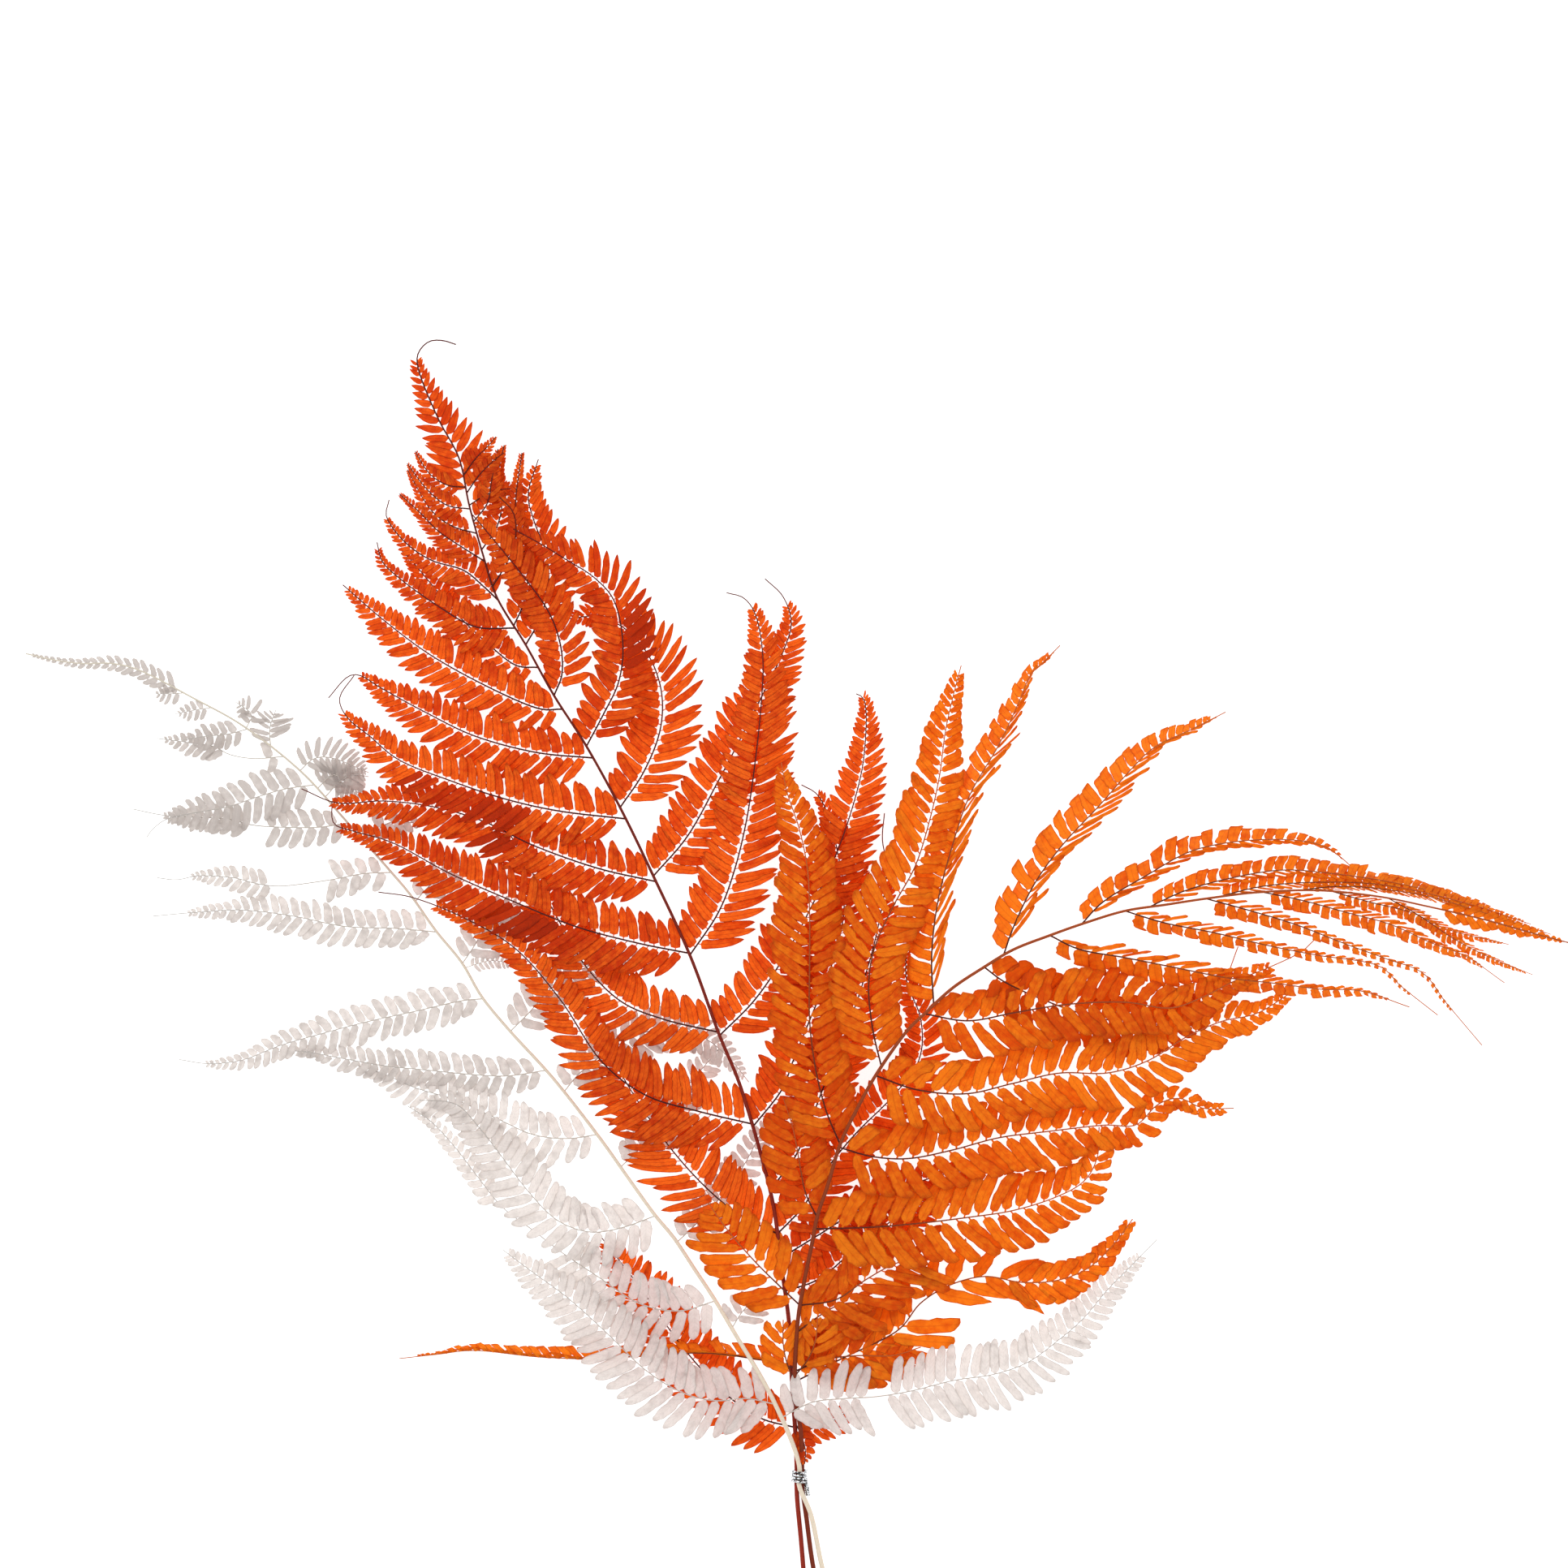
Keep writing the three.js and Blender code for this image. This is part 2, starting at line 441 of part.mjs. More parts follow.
// The blade of a side frond: a narrow rib, and on each side one pointed leaflet after another, cut apart down to
// the rib. The lower face has the same triangles as the upper one.
function bladeSolid(place, length, { w, down = [DROOP, DROOP], bare = [2, 2], ...options }) {
  const { thread = THREAD_LENGTH, lean = LEAN, fall = [0.4, 1.6] } = options;
  const leafyFrom = Math.min(FIRST_LEAFLET, length / 8) / length;
  const leafyTo = 1 - Math.min(thread, length / 3) / length;
  const pitch = w > SMALL_LEAFLET ? LEAFLET_PITCH : SMALL_LEAFLET_PITCH;
  const count = Math.max(2, Math.round(((leafyTo - leafyFrom) * length) / pitch));
  const threadSteps = Math.max(1, Math.round(((1 - leafyTo) * length) / THREAD_STEP));
  const stations = [0];
  for (let k = 0; k <= count; k++) stations.push(mix(leafyFrom, leafyTo, k / count));
  for (let k = 1; k <= threadSteps; k++) stations.push(mix(leafyTo, 1, k / threadSteps));

  const positions = [];
  const triangles = [];
  // Adds a point of the upper face and the one below it, and returns the number of the upper one.
  const addPair = (p, across, thickness) => {
    const upper = p.clone().addScaledVector(across, thickness / 2);
    const lower = p.clone().addScaledVector(across, -thickness / 2);
    positions.push(upper.x, upper.y, upper.z, lower.x, lower.y, lower.z);
    return positions.length / 3 - 2;
  };
  // Adds a triangle of the upper face, seen anticlockwise from above, and the one below it.
  const addFace = (a, b, c) => triangles.push(a, b, c, a + 1, c + 1, b + 1);

  const rib = stations.map((f) => {
    const p = place(f);
    const { left, above } = frameAt(place, f);
    const half = mix(RIB_HALF_WIDTH, RIB_TIP_HALF_WIDTH, f);
    const thickness = mix(RIB_THICKNESS, BLADE_THICKNESS, f);
    return [1, -1].map((side) => addPair(p.clone().addScaledVector(left, side * half), above, thickness));
  });
  const edges = [[], []];
  for (let k = 0; k < stations.length - 1; k++) {
    const [[left0, right0], [left1, right1]] = [rib[k], rib[k + 1]];
    addFace(right0, right1, left1);
    addFace(right0, left1, left0);
    edges[0].push(left0);
    edges[1].push(right0);
    const middle = (stations[k] + stations[k + 1]) / 2;
    const leafy = k >= 1 && k <= count && !(middle > bare[0] && middle < bare[1]);
    if (!leafy) continue;
    const reach = w * leafletShare((k - 0.5) / count, fall);
    const frame = frameAt(place, middle);
    [1, -1].forEach((side, i) => {
      const tilt = radians(down[i]);
      const out = frame.left.clone().multiplyScalar(side * Math.cos(tilt)).addScaledVector(frame.above, -Math.sin(tilt));
      const across = frame.above.clone().multiplyScalar(Math.cos(tilt)).addScaledVector(frame.left, side * Math.sin(tilt));
      const tip = place(middle).addScaledVector(out, reach * Math.cos(radians(lean)));
      tip.addScaledVector(frame.forward, reach * Math.sin(radians(lean)));
      const point = addPair(tip, across, BLADE_THICKNESS);
      if (side > 0) addFace(left0, left1, point);
      else addFace(right1, right0, point);
      edges[i].push(point);
    });
  }
  edges[0].push(rib.at(-1)[0]);
  edges[1].push(rib.at(-1)[1]);
  // The rim runs up the right side and back down the left one.
  const rim = [...edges[1], ...edges[0].reverse()];
  rim.forEach((a, i) => {
    const b = rim[(i + 1) % rim.length];
    triangles.push(a + 1, b + 1, b, a + 1, b, a);
  });
  return solidOf(positions, triangles);
}

// The share of the stem's length at which it passes nearest to a point of the table.
function shareNear(curve, [x, y]) {
  const samples = 1200;
  const near = { share: 0, distance: Infinity };
  for (let i = 0; i <= samples; i++) {
    const p = curve.getPointAt(i / samples);
    const distance = Math.hypot(p.x - x, p.y - y);
    if (distance < near.distance) Object.assign(near, { share: i / samples, distance });
  }
  return near.share;
}

function pinnaSolid(stem, spec) {
  const root = stem.getPointAt(shareNear(stem, spec.at[0]));
  const route = smoothCurve([[root.x, root.y, 0], ...spec.at.slice(1).map(([x, y]) => [x, y, 0])]);
  const place = (f) => {
    const p = route.getPointAt(f);
    p.z = mix(root.z, spec.z, f) + spec.arch * 4 * f * (1 - f);
    return p;
  };
  return bladeSolid(place, route.getLength(), spec);
}

// The leaflets that stand on the stem itself, up to its tip.
function apexSolid(stem, spec) {
  const [from, to] = [shareNear(stem, spec.from), shareNear(stem, spec.to)];
  const place = (f) => stem.getPointAt(mix(from, to, f));
  return bladeSolid(place, stem.getLength() * (to - from), spec);
}

function frondMesh(frond) {
  const stem = smoothCurve(frond.stem);
  stem.arcLengthDivisions = 800;
  const blades = frond.pinnae.map((spec) => pinnaSolid(stem, spec));
  const whole = wasm.Manifold.union([stemSolid(stem), apexSolid(stem, frond.apex), ...blades]);
  const material = new THREE.MeshStandardMaterial({ color: frond.colour, roughness: 0.75, metalness: 0 });
  const mesh = new THREE.Mesh(geometryOfSolid(whole), material);
  mesh.name = frond.name;
  return mesh;
}

// A round wire along a route.
function wireSolid(points, steps) {
  const section = new THREE.Shape().absarc(0, 0, WIRE_RADIUS, 0, 2 * Math.PI);
  const geometry = new THREE.ExtrudeGeometry(section, {
    steps,
    curveSegments: 3,
    bevelEnabled: false,
    extrudePath: smoothCurve(points),
  });
  return solidOfGeometry(geometry);
}

// The wire goes three times round the bundle, hugging the three stems, and its ends are twisted together.
function tieMesh() {
  const stems = [[TIE_HALF_SPREAD, TIE_LOW_Z], [0, TIE_HIGH_Z], [-TIE_HALF_SPREAD, TIE_LOW_Z]];
  const reach = STEM_RADIUS + WIRE_GAP + WIRE_RADIUS;
  const stepsPerTurn = 10;
  const start = radians(20);
  const coil = [];
  for (let i = 0; i <= WIRE_TURNS * stepsPerTurn; i++) {
    const angle = start + (2 * Math.PI * (i + 0.5)) / stepsPerTurn;
    const [cos, sin] = [Math.cos(angle), Math.sin(angle)];
    const along = ([x, z]) => x * cos + z * sin;
    const [x, z] = stems.reduce((best, s) => (along(s) > along(best) ? s : best));
    const y = WIRE_PITCH * (i / stepsPerTurn - WIRE_TURNS / 2);
    coil.push([x + reach * cos, y, z + reach * sin]);
  }
  const tailAt = [TIE_HALF_SPREAD + reach - 0.3, -WIRE_TURNS * WIRE_PITCH / 2, TIE_LOW_Z + reach * 0.75];
  const tail = (phase) => {
    const points = [];
    const steps = TAIL_TURNS * 6;
    for (let i = 0; i <= steps; i++) {
      const angle = phase + (2 * Math.PI * TAIL_TURNS * i) / steps;
      const f = i / steps;
      points.push([
        tailAt[0] + 1.2 * f + WIRE_RADIUS * 0.9 * Math.cos(angle),
        tailAt[1] + WIRE_RADIUS - TAIL_LENGTH * f,
        tailAt[2] - 1.2 * f + WIRE_RADIUS * 0.9 * Math.sin(angle),
      ]);
    }
    return wireSolid(points, steps);
  };
  const whole = wasm.Manifold.union([wireSolid(coil, coil.length - 1), tail(0), tail(Math.PI)]);
  const material = new THREE.MeshStandardMaterial({ color: 0xc4c8cc, roughness: 0.25, metalness: 1 });
  const mesh = new THREE.Mesh(geometryOfSolid(whole), material);
  mesh.name = 'wire_tie';
  return mesh;
}

const bunch = new THREE.Group();
[scarlet, orange, white].forEach((frond) => bunch.add(frondMesh(frond)));
bunch.add(tieMesh());
const [[cutX, cutY], [flatX, flatY]] = scarlet.stem;
bunch.position.set(-(cutX + flatX) / 2, -(cutY + flatY) / 2, 0);

export default bunch;
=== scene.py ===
import bpy
import numpy as np
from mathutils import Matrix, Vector


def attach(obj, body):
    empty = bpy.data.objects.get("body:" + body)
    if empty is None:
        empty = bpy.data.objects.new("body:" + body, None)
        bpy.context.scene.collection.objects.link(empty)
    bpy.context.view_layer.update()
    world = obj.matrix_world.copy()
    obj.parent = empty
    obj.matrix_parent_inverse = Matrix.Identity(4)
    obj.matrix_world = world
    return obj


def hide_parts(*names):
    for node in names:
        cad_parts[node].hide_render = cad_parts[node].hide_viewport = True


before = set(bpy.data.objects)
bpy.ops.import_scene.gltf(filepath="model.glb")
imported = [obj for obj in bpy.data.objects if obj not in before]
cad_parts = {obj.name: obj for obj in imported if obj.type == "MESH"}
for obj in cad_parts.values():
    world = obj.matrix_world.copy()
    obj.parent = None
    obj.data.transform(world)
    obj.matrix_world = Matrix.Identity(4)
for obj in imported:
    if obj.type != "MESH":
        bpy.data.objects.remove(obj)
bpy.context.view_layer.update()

# Three dried fern fronds, scarlet, orange and bleached white, tied with silver wire and lying on a table, seen from
# above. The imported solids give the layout, and this script grows each frond again with all its leaflets, its ribs
# and its stem. Routes are in millimetres from the tie, x to the right, y towards the tips and z up off the table.
# They are the routes of the solids, and the script turns them into metres from the frame's origin.
MM = 0.001

# Stems and ribs, in millimetres, shares of their length and degrees
STEM_RADIUS = 1.15
STEM_TIP_RADIUS = 0.32
LYING = STEM_RADIUS * np.cos(np.pi / 6)
RIB_TIP_SHARE = 0.62
THICK_STEM_SHARE = 0.12
STEM_STEP = 2.5
RIB_STEP = 2.6
STEM_SIDES = 10
RIB_SIDES = 6
SMOOTHED_UP_TO = 70

# The bundle at the tie, in millimetres and degrees
TIE_HALF_SPREAD = 1.35
TIE_LOW_Z = 2.5
TIE_HIGH_Z = 4.95
TIE_ZONE = 5
WIRE_RADIUS = 0.6
WIRE_GAP = 0.35
WIRE_TURNS = 4
WIRE_PITCH = 1.5
WIRE_SIDES = 12
WIRE_START = 20
STEPS_IN_A_TURN = 40
TAIL_LENGTH = 7
TAIL_TURNS = 3
TAIL_STEPS = 60
TAIL_SLOPE = 1.2
TAIL_TIGHTNESS = 0.95

# Leaflets, in millimetres and degrees, where a side frond says nothing else
FIRST_LEAFLET = 3
THREAD_LENGTH = 4
TIP_SHARE = 0.15
CROWDING = 1.28
DROOP = 7
TIP_LEAN = 14
NEAR_SIDE_LENGTH = 1.1
ROOT_SHARE, ROOT_STRETCH = 0.84, 0.12
SHORTEST = 1.6
STOUTEST = 0.3
CLEARANCE = 0.25
ON_TABLE = 0.02

# A leaflet that leans is longer and narrower for it, up to these angles, in radians.
LENGTHENED_UP_TO = np.radians(35)
NARROWED_UP_TO = 0.7

# A row that has dried on edge: how much further one side leans and rolls and how much narrower it looks, and how the
# other side hangs
EDGE_LEAN, EDGE_ROLL, EDGE_WIDTH = 48, 20, 0.4
HANGING_LEAN, HANGING_TILT = -14, 42

# How single leaflets are shaped, as middle and spread, or as least and most, and how far they stray from their row
CURL = (0.03, 0.05)
BEND = (0.6, 1.4)
TWIST = 0.1
FOLD = (-0.12, 0.1)
SLANT = 0.55
STAGGER = 0.2
# How much painted shade, least and most, is added to the tone of leaflets that lie over the next side frond
OVERLAP_SHADE = (0.3, 1.2)
PLACE_SPREAD, LENGTH_SPREAD, WIDTH_SPREAD = 0.03, 0.05, 0.04
TILT_SPREAD, LEAN_SPREAD, ROLL_SPREAD, EDGE_ROLL_SPREAD = 5, 3, 4, 6

# Outlines of the leaflets: half the width, as shares of its largest, at shares of the length. Each starts with the
# foot by which the leaflet stands on its rib. Every other station is a tooth of the edge.
STRAP = [(0, 0.1), (0.075, 0.1), (0.105, 0.86), (0.2, 1), (0.32, 0.95), (0.44, 1), (0.56, 0.95), (0.67, 0.95),
         (0.78, 0.8), (0.88, 0.6), (0.95, 0.34), (1, 0.03)]
LANCE = [(0, 0.1), (0.05, 0.3), (0.12, 0.7), (0.22, 0.92), (0.34, 1), (0.46, 0.98), (0.58, 0.9), (0.69, 0.76),
         (0.8, 0.56), (0.89, 0.36), (0.95, 0.2), (1, 0.02)]
SQUARE = [(0, 0.12), (0.07, 0.15), (0.1, 0.6), (0.17, 0.84), (0.3, 0.94), (0.44, 0.96), (0.57, 1.02), (0.68, 1.0),
          (0.79, 1.05), (0.9, 1.0), (0.96, 0.82), (1, 0.2)]
BLOCK = [(0, 0.5), (0.08, 0.86), (0.3, 0.93), (0.52, 1), (0.74, 0.97), (0.92, 1.02), (1, 0.8)]
OBLONG = [(0, 0.2), (0.03, 0.3), (0.08, 0.8), (0.18, 0.96), (0.32, 1), (0.46, 0.96), (0.6, 0.97), (0.72, 0.9),
          (0.83, 0.84), (0.91, 0.66), (0.97, 0.4), (1, 0.08)]

# A side frond is dict(reach, tip_z, arch, at, ...). at is its route over the table, and its first point is moved onto
# the stem. The other keys, in millimetres, degrees and shares of its length:
#   reach: length of its longest leaflets         tip_z: height of its tip
#   arch: how far its middle stands above the straight line from root to tip
#   fall: where its leaflets start to get shorter, and how suddenly they do so
#   spacing: how far apart they stand at the root  width: how wide they are for it
#   lean: how far they point forward              down: how far they tilt down, on the left and on the right
#   thread: length of its bare tip                bare: the two ends of each stretch without leaflets
#   outline: the shape of its leaflets            age: how deep their colour has turned, 1 at most where not dark
#   dark: where its leaflets nearer the tie lie over the next side frond's and are darkened with painted shade of that
#       overlap, from and to
#   edge_on: the side, 1 for left and -1 for right, whose leaflets have dried on edge
#   rib: False for a second lot of leaflets on the same route

# What the small side fronds near the scarlet tip have in common, on the left of the stem and on the right of it
SMALL_LEFT = dict(fall=(0.1, 0.85), age=0.55, thread=1, spacing=3, width=0.98, lean=33)
SMALL_RIGHT = dict(fall=(0.1, 0.85), age=0.55, thread=1, spacing=3.4, width=0.98, lean=30)

SCARLET = dict(
    stem=[
        (6, -92, LYING), (3.6, -66, LYING), (1, -34, LYING), (-0.9, -14, 2.1),
        (-TIE_HALF_SPREAD, -TIE_ZONE, TIE_LOW_Z), (-TIE_HALF_SPREAD, TIE_ZONE, TIE_LOW_Z), (-2, 22, 3.9),
        (-3.6, 45, 7), (-5, 75, 12), (-9, 105, 16), (-14, 140, 19), (-28, 190, 21), (-40, 220, 22), (-54, 258, 23),
        (-72, 297, 23), (-88, 330, 23), (-105, 361, 23), (-121, 386, 22), (-135, 411, 21), (-149, 434, 20),
        (-156, 455, 18), (-163, 480, 16), (-168, 503, 14), (-178, 522, 11), (-187, 543, 7), (-189, 554, 4.5),
        (-184, 561, 2.4), (-177, 562, 1.2), (-170, 560, 0.5),
    ],
    apex=dict(base=(-164, 484), end=(-189, 553), reach=20, fall=(0, 0.85), lean=27, spacing=5.6, width=0.98, thread=2,
              age=0.6, outline=LANCE),
    pinnae=[
        dict(reach=17, tip_z=1.8, arch=-0.6, fall=(0.6, 1.5),
             at=[(-4, 24), (-20, 29), (-38, 42), (-58, 64), (-78, 92), (-98, 118)]),
        dict(reach=20, tip_z=12, arch=-1, at=[(-12, 120), (-30, 130), (-47, 144), (-64, 163), (-80, 186), (-97, 214)]),
        dict(reach=20, tip_z=11, arch=3, fall=(0.25, 0.8), thread=30,
             at=[(-25, 174), (-50, 181), (-76, 189), (-98, 206), (-118, 236), (-140, 261), (-165, 276), (-190, 286),
                 (-208, 289)]),
        dict(reach=16, tip_z=12, arch=-4,
             at=[(-40, 220), (-66, 226), (-88, 235), (-106, 253), (-120, 277), (-131, 297), (-141, 314), (-150, 332)]),
        dict(reach=16.5, tip_z=11, arch=2, thread=16, dark=(0.3, 0.5),
             at=[(-55, 259), (-80, 264), (-110, 272), (-140, 284), (-172, 298), (-200, 313), (-220, 319), (-230, 323),
                 (-231, 334)]),
        dict(reach=15, tip_z=11, arch=1, thread=17, dark=(0.36, 0.46),
             at=[(-71, 294), (-100, 301), (-131, 312), (-156, 324), (-180, 331), (-205, 334), (-228, 333),
                 (-246, 340)]),
        dict(reach=16, tip_z=12, arch=6, thread=22, dark=(0.25, 0.6),
             at=[(-86, 325), (-118, 329), (-145, 335), (-172, 344), (-197, 354), (-212, 366), (-223, 375), (-227, 385),
                 (-220, 396)]),
        dict(reach=14, tip_z=3, arch=4, thread=22,
             at=[(-103, 354), (-130, 358), (-160, 366), (-185, 378), (-207, 390), (-217, 396), (-224, 395),
                 (-233, 385)]),
        dict(reach=13, tip_z=0.6, arch=4,
             at=[(-117, 379), (-130, 380), (-155, 391), (-182, 406), (-205, 423), (-226, 441)]),
        dict(reach=10, tip_z=5, arch=-4,
             at=[(-131, 399), (-140, 401), (-152, 410), (-167, 424), (-181, 440), (-191, 452), (-198, 459)]),
        dict(reach=12, tip_z=3, arch=4, fall=(0.15, 1.0), age=0.5, spacing=4,
             at=[(-142, 418), (-160, 420), (-178, 430), (-195, 442), (-206, 452), (-209, 462)]),
        dict(reach=11, tip_z=4, arch=2, fall=(0.15, 1.0), age=0.5, spacing=3.6, thread=10,
             at=[(-150, 432), (-156, 440), (-166, 448), (-182, 453), (-195, 462), (-204, 474), (-203, 483)]),
        dict(SMALL_LEFT, reach=9, tip_z=4, arch=3,
             at=[(-156, 452), (-166, 459), (-178, 467), (-188, 477), (-198, 486)]),
        dict(SMALL_LEFT, reach=8, tip_z=3, arch=1, at=[(-160, 466), (-172, 470), (-183, 479), (-194, 498)]),
        dict(SMALL_LEFT, reach=7.5, tip_z=7, arch=3, at=[(-163, 478), (-174, 480), (-184, 488), (-194, 501)]),
        dict(SMALL_LEFT, reach=7, tip_z=9, arch=2, at=[(-165, 489), (-174, 490), (-183, 496), (-190, 507)]),
        dict(SMALL_LEFT, reach=7, tip_z=13, arch=1, at=[(-166, 495), (-160, 503), (-154, 509), (-150, 514)]),
        dict(SMALL_LEFT, reach=8, tip_z=13, arch=1, at=[(-163, 480), (-155, 485), (-146, 488), (-136, 488)]),
        dict(reach=8, tip_z=1.5, arch=-0.6, at=[(-1, 21), (8, 24), (18, 28), (28, 35)]),
        dict(reach=6, tip_z=6, arch=0, thread=1, spacing=4, width=1.3, age=0.6,
             at=[(-2, 27), (1, 20), (3, 13), (2.6, 6)]),
        dict(reach=13, tip_z=5, arch=-3, at=[(-7, 92), (10, 98), (27, 112), (48, 128), (68, 140), (91, 148)]),
        dict(reach=11, tip_z=4, arch=-1, at=[(-10, 108), (10, 120), (38, 137), (70, 149), (101, 154)]),
        dict(reach=14, tip_z=14, arch=-1,
             at=[(-12, 120), (2, 134), (14, 153), (28, 170), (46, 188), (59, 206), (60, 226), (53, 245), (53, 262)]),
        dict(reach=15, tip_z=15, arch=0, thread=26,
             at=[(-14, 142), (-3, 157), (4, 172), (12, 193), (21, 215), (30, 240), (38, 268), (43, 298), (41, 315),
                 (42, 328)]),
        dict(reach=16, tip_z=12, arch=-4, thread=10,
             at=[(-22, 174), (-9, 191), (-3, 206), (6, 228), (15, 250), (21, 272), (22, 290), (19, 308), (15, 325),
                 (9, 337), (1, 342)]),
        dict(reach=17, tip_z=10, arch=2,
             at=[(-38, 219), (-22, 236), (-7, 258), (6, 282), (17, 305), (25, 327), (31, 350), (33, 372), (32, 384),
                 (28, 387)]),
        dict(reach=18, tip_z=6, arch=5, thread=16,
             at=[(-53, 258), (-40, 279), (-32, 300), (-26, 325), (-22, 352), (-19, 380), (-18, 404), (-21, 424),
                 (-27, 434), (-36, 437)]),
        dict(reach=17, tip_z=2, arch=-2, thread=18,
             at=[(-71, 297), (-55, 317), (-40, 344), (-28, 367), (-16, 391), (-8, 408), (-4, 422), (-8, 435),
                 (-17, 444)]),
        dict(reach=17, tip_z=12, arch=-3,
             at=[(-88, 331), (-77, 348), (-69, 368), (-68, 387), (-74, 405), (-86, 419), (-100, 425), (-115, 424)]),
        dict(reach=15, tip_z=24, arch=4, dark=(0.3, 0.5),
             at=[(-105, 361), (-97, 376), (-89, 393), (-87, 412), (-91, 432), (-101, 444), (-115, 453), (-128, 461),
                 (-141, 468)]),
        dict(reach=12, tip_z=28, arch=2,
             at=[(-121, 386), (-117, 397), (-118, 412), (-124, 428), (-137, 446), (-150, 462), (-161, 475)]),
        dict(reach=12, tip_z=9, arch=-3,
             at=[(-135, 411), (-128, 424), (-124, 440), (-125, 456), (-131, 472), (-134, 486), (-129, 503)]),
        dict(SMALL_RIGHT, reach=10, tip_z=16, arch=0,
             at=[(-142, 420), (-136, 432), (-134, 448), (-138, 466), (-140, 482), (-137, 506)]),
        dict(SMALL_RIGHT, reach=9, tip_z=21, arch=2,
             at=[(-151, 440), (-144, 452), (-140, 464), (-141, 476), (-148, 484)]),
        dict(SMALL_RIGHT, reach=9, tip_z=8, arch=-1,
             at=[(-157, 458), (-150, 468), (-147, 480), (-149, 494), (-146, 510)]),
        dict(SMALL_RIGHT, reach=8, tip_z=12, arch=2, at=[(-161, 472), (-154, 481), (-152, 492), (-149, 508)]),
        dict(SMALL_RIGHT, reach=8, tip_z=14, arch=1, at=[(-165, 486), (-158, 495), (-151, 502), (-146, 506)]),
    ],
)

# The orange frond's lowest side frond on the right: small leaflets at both ends, and large ones between them
LOWEST_RIGHT = [
    (-3, 47), (22, 59), (48, 72), (60, 86), (75, 95), (92, 99), (110, 96), (128, 97), (143, 103), (155, 114),
    (165, 127)]

